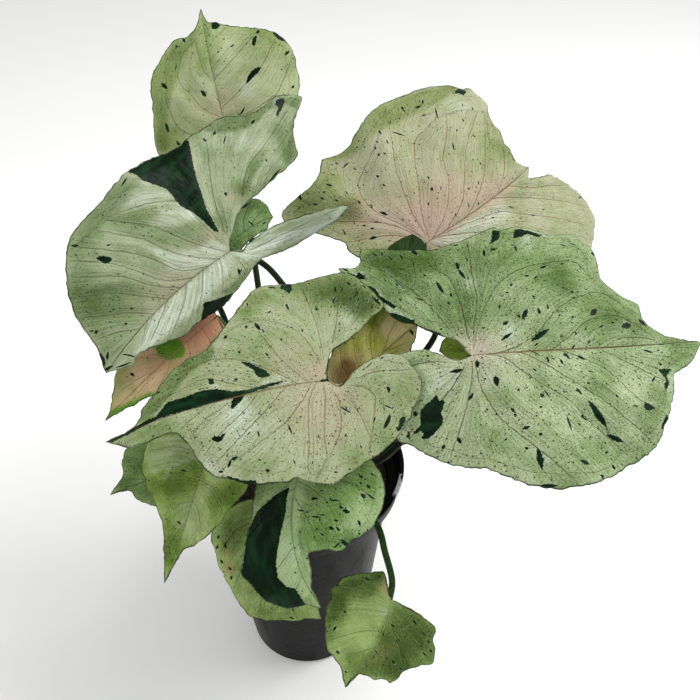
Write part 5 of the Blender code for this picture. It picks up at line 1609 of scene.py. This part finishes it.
def chip(bm, rng, at, size, kind):
    """A small broken piece in the mix: a flat splinter of bark or a round grain of perlite."""
    made = bmesh.ops.create_icosphere(bm, subdivisions=2 if kind == PERLITE else 1, radius=1.0)
    long, flat = (rng.uniform(1.0, 2.2), rng.uniform(0.3, 0.6)) if kind == BARK else (1.1, 0.8)
    turn = rng.uniform(0, 2 * math.pi)
    tilt = rng.uniform(-0.5, 0.5)
    broken = CHIP_BREAKS[kind]
    for vert in made["verts"]:
        co = vert.co * (1 + rng.uniform(-broken, broken))
        x, y, z = co.x * long * size, co.y * size * 0.7, co.z * flat * size
        x, z = turned(x, z, tilt)
        x, y = turned(x, y, turn)
        vert.co = (at[0] + x, at[1] + y, at[2] + z)
    for face in {face for vert in made["verts"] for face in vert.link_faces}:
        face.material_index = kind


def soil_piece():
    """Potting mix: a lumpy surface with bits of bark and perlite lying in it."""
    rng = random.Random(CHIP_SEED)
    bm = bmesh.new()
    soil_surface(bm)
    bmesh.ops.recalc_face_normals(bm, faces=bm.faces)
    for k in range(CHIPS):
        r, a = CHIP_REACH * math.sqrt(rng.random()), rng.uniform(0, 2 * math.pi)
        kind = BARK if k % PERLITE_EVERY else PERLITE
        size = rng.uniform(*CHIP_SIZES[kind])
        x, y = r * math.cos(a), r * math.sin(a)
        chip(bm, rng, (x, y, soil_skin(x, y) + 0.1 * size), size, kind)
    mesh = bpy.data.meshes.new("potting_mix")
    bm.to_mesh(mesh)
    bm.free()
    for face in mesh.polygons:
        face.use_smooth = face.material_index != BARK
    return new_piece("potting_mix", mesh, LOOKS["soil"], LOOKS["bark"], LOOKS["perlite"])


def object_place(tree, x=1.0, y=1.0, z=1.0):
    """Place in the object's own frame, in millimetres, multiplied along each axis."""
    place = tree.nodes.new("ShaderNodeTexCoord").outputs["Object"]
    return scaled(tree, place, (x / MM, y / MM, z / MM))


def plastic_material():
    """Black nursery plastic: faintly orange-peeled, scuffed, with a dry film of soil, and a painted
    highlight on its rim.
    """
    look, tree, shader = new_material("black nursery plastic", 0.05)
    where = object_place(tree)
    film = between(tree, clouds(tree, object_place(tree, z=0.35), 0.05, 5.0, 0.65), 0.50, 0.85)
    scuff = between(tree, clouds(tree, object_place(tree, 0.4, 0.4, 2.6), 0.5, 3.0, 0.6), 0.58, 0.72)
    colour = mixed(tree, times(tree, film, 0.25), (5, 5, 5), (26, 24, 23))
    colour = mixed(tree, times(tree, scuff, 0.2), colour, (36, 36, 38))
    # Painted highlight: a pale ragged streak on the right of the rim
    centred = tree.nodes.new("ShaderNodeMapping")
    centred.vector_type = "TEXTURE"
    put_all(tree, centred.inputs, Vector=where, Location=RIM_HIGHLIGHT_MIDDLE, Scale=RIM_HIGHLIGHT_SIZE)
    near = tree.nodes.new("ShaderNodeVectorMath")
    near.operation = "LENGTH"
    put(tree, near.inputs[0], centred.outputs[0])
    highlight_distance = times_plus(tree, clouds(tree, where, 0.35, 3.0, 0.6), 1.6, near.outputs["Value"])
    colour = mixed(tree, below(tree, highlight_distance, 1.45, 1.75), colour, (216, 216, 220))
    rough = times_plus(tree, scuff, 0.08, times_plus(tree, film, 0.25, 0.34))
    peel = times_plus(tree, clouds(tree, where, 0.25, 2.0), 1.5, clouds(tree, where, 1.9, 3.0, 0.6))
    surface(tree, shader, colour, rough, peel, 0.00012)
    return look


def soil_material():
    """Dark, crumbly peat with paler fibres."""
    look, tree, shader = new_material("potting mix")
    crumbs = clouds(tree, object_place(tree), 0.9, 5.0, 0.7)
    fibres = between(tree, clouds(tree, object_place(tree, x=0.3), 1.6), 0.6, 0.68)
    colour = mixed(tree, between(tree, crumbs, 0.35, 0.7), (20, 15, 11), (58, 43, 31))
    colour = mixed(tree, times(tree, fibres, 0.5), colour, (122, 96, 70))
    surface(tree, shader, colour, times_plus(tree, crumbs, 0.12, 0.84), crumbs, 0.0006)
    return look


def grain_material(name, dark, light, scale, roughness):
    """A plain broken material in two mingled colours, for bark and perlite."""
    look, tree, shader = new_material(name)
    grain = clouds(tree, object_place(tree), scale, 4.0, 0.6)
    colour = mixed(tree, between(tree, grain, 0.35, 0.68), dark, light)
    surface(tree, shader, colour, times_plus(tree, grain, 0.14, roughness - 0.07), grain, 0.0003)
    return look


def stalk_material(name, dark, light, bloom):
    """Stalk skin: streaked lengthways, freckled, paler towards the blade."""
    look, tree, shader = new_material(name, 0.08)
    streak = between(tree, clouds(tree, object_place(tree, z=0.06), 1.3, 3.0, 0.6), 0.36, 0.66)
    freckle = between(tree, clouds(tree, object_place(tree, z=0.5), 1.7, 2.0), 0.6, 0.68)
    pale = times(tree, between(tree, field(tree, "along"), 60.0, 220.0), 0.35)
    colour = mixed(tree, pale, mixed(tree, streak, dark, light), bloom)
    colour = mixed(tree, times(tree, freckle, 0.4), colour, SPLASH_DARK)
    surface(tree, shader, colour, times_plus(tree, streak, 0.12, 0.36), streak, 0.00015)
    return look


def floor_piece():
    """A plain pale floor, a hair under the pot."""
    corners = [(x * FLOOR_HALF, y * FLOOR_HALF, 0.0) for x, y in ((-1, -1), (1, -1), (1, 1), (-1, 1))]
    look, tree, shader = new_material("pale floor")
    colour = mixed(tree, clouds(tree, object_place(tree), 0.004, 2.0), (246, 246, 245), (250, 250, 249))
    put_all(tree, shader.inputs, Base_Color=colour, Roughness=0.8)
    floor = new_piece("floor", new_mesh("floor", corners, [(0, 1, 2, 3)]), look)
    floor.location.z = -0.0002


def new_object(name, data, place):
    """A camera or light at a place."""
    thing = bpy.data.objects.new(name, data)
    thing.location = place
    bpy.context.scene.collection.objects.link(thing)
    return thing


def camera():
    """The camera, at the viewpoint that the margins are set out from."""
    data = bpy.data.cameras.new("camera")
    data.sensor_width = SENSOR_WIDTH
    data.lens = SENSOR_WIDTH * VIEW_FOCAL / (2 * VIEW_MIDDLE)
    data.clip_start = 0.01
    data.clip_end = 20.0
    eye = new_object("camera", data, EYE)
    eye.rotation_euler = (math.pi / 2 - VIEW_PITCH, 0.0, 0.0)
    bpy.context.scene.camera = eye


def softbox(name, place, size, power):
    """A large square light at a place, aimed at the middle of the plant."""
    data = bpy.data.lights.new(name, "AREA")
    data.shape = "SQUARE"
    data.size = size
    data.energy = power
    way = Vector(PLANT_MIDDLE) - Vector(place)
    new_object(name, data, place).rotation_euler = way.to_track_quat("-Z", "Y").to_euler()


def studio_light():
    """Plain soft light: a bright room, a large key high on the right and a weak fill on the left."""
    world = bpy.data.worlds.new("studio")
    world.use_nodes = True
    backdrop = world.node_tree.nodes["Background"].inputs
    put_all(world.node_tree, backdrop, Color=(1.0, 1.0, 1.0, 1.0), Strength=ROOM_LIGHT)
    bpy.context.scene.world = world
    bpy.context.scene.view_settings.view_transform = "Standard"
    softbox("key", (0.9, 0.1, 1.4), 0.7, KEY_POWER)
    softbox("fill", (-1.2, -0.8, 1.0), 1.2, FILL_POWER)


def stand_for(piece, node):
    """The piece is hung on the plant's root body, and the CAD node that it stands for is hidden."""
    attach(piece, "root")
    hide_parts(node)


camera()
studio_light()
floor_piece()
GROUPS = dict(veins=make_vein_group(), splashes=make_splash_group(), specks=make_speck_group(),
              tones=make_tone_group())
LOOKS = dict(
    plastic=plastic_material(), soil=soil_material(),
    bark=grain_material("bark", (52, 34, 22), (112, 78, 50), 0.8, 0.85),
    perlite=grain_material("perlite", (176, 172, 160), (222, 218, 208), 1.2, 0.9),
    # Stalk skins: a near-black one that paints the stalks among the leaves in shade, and a paler one that
    # paints the stalks in front as lit
    stalk=stalk_material("stalk skin", (6, 14, 4), (18, 34, 12), (54, 76, 36)),
    lit_stalk=stalk_material("lit stalk skin", (22, 44, 12), (52, 84, 34), (84, 112, 56)),
    stem=stalk_material("stem skin", (52, 66, 30), (96, 108, 56), (110, 100, 70)))

stand_for(pot_piece(), "pot")
stand_for(soil_piece(), "soil")
for name, place in STEMS.items():
    stand_for(stem_piece(name, place), "stem_" + name)
for name, leaf in LEAVES.items():
    sheet = Sheet(leaf)
    stand_for(blade_piece(name, sheet), "blade_" + name)
    stand_for(stalk_piece(name, leaf, sheet), "stalk_" + name)
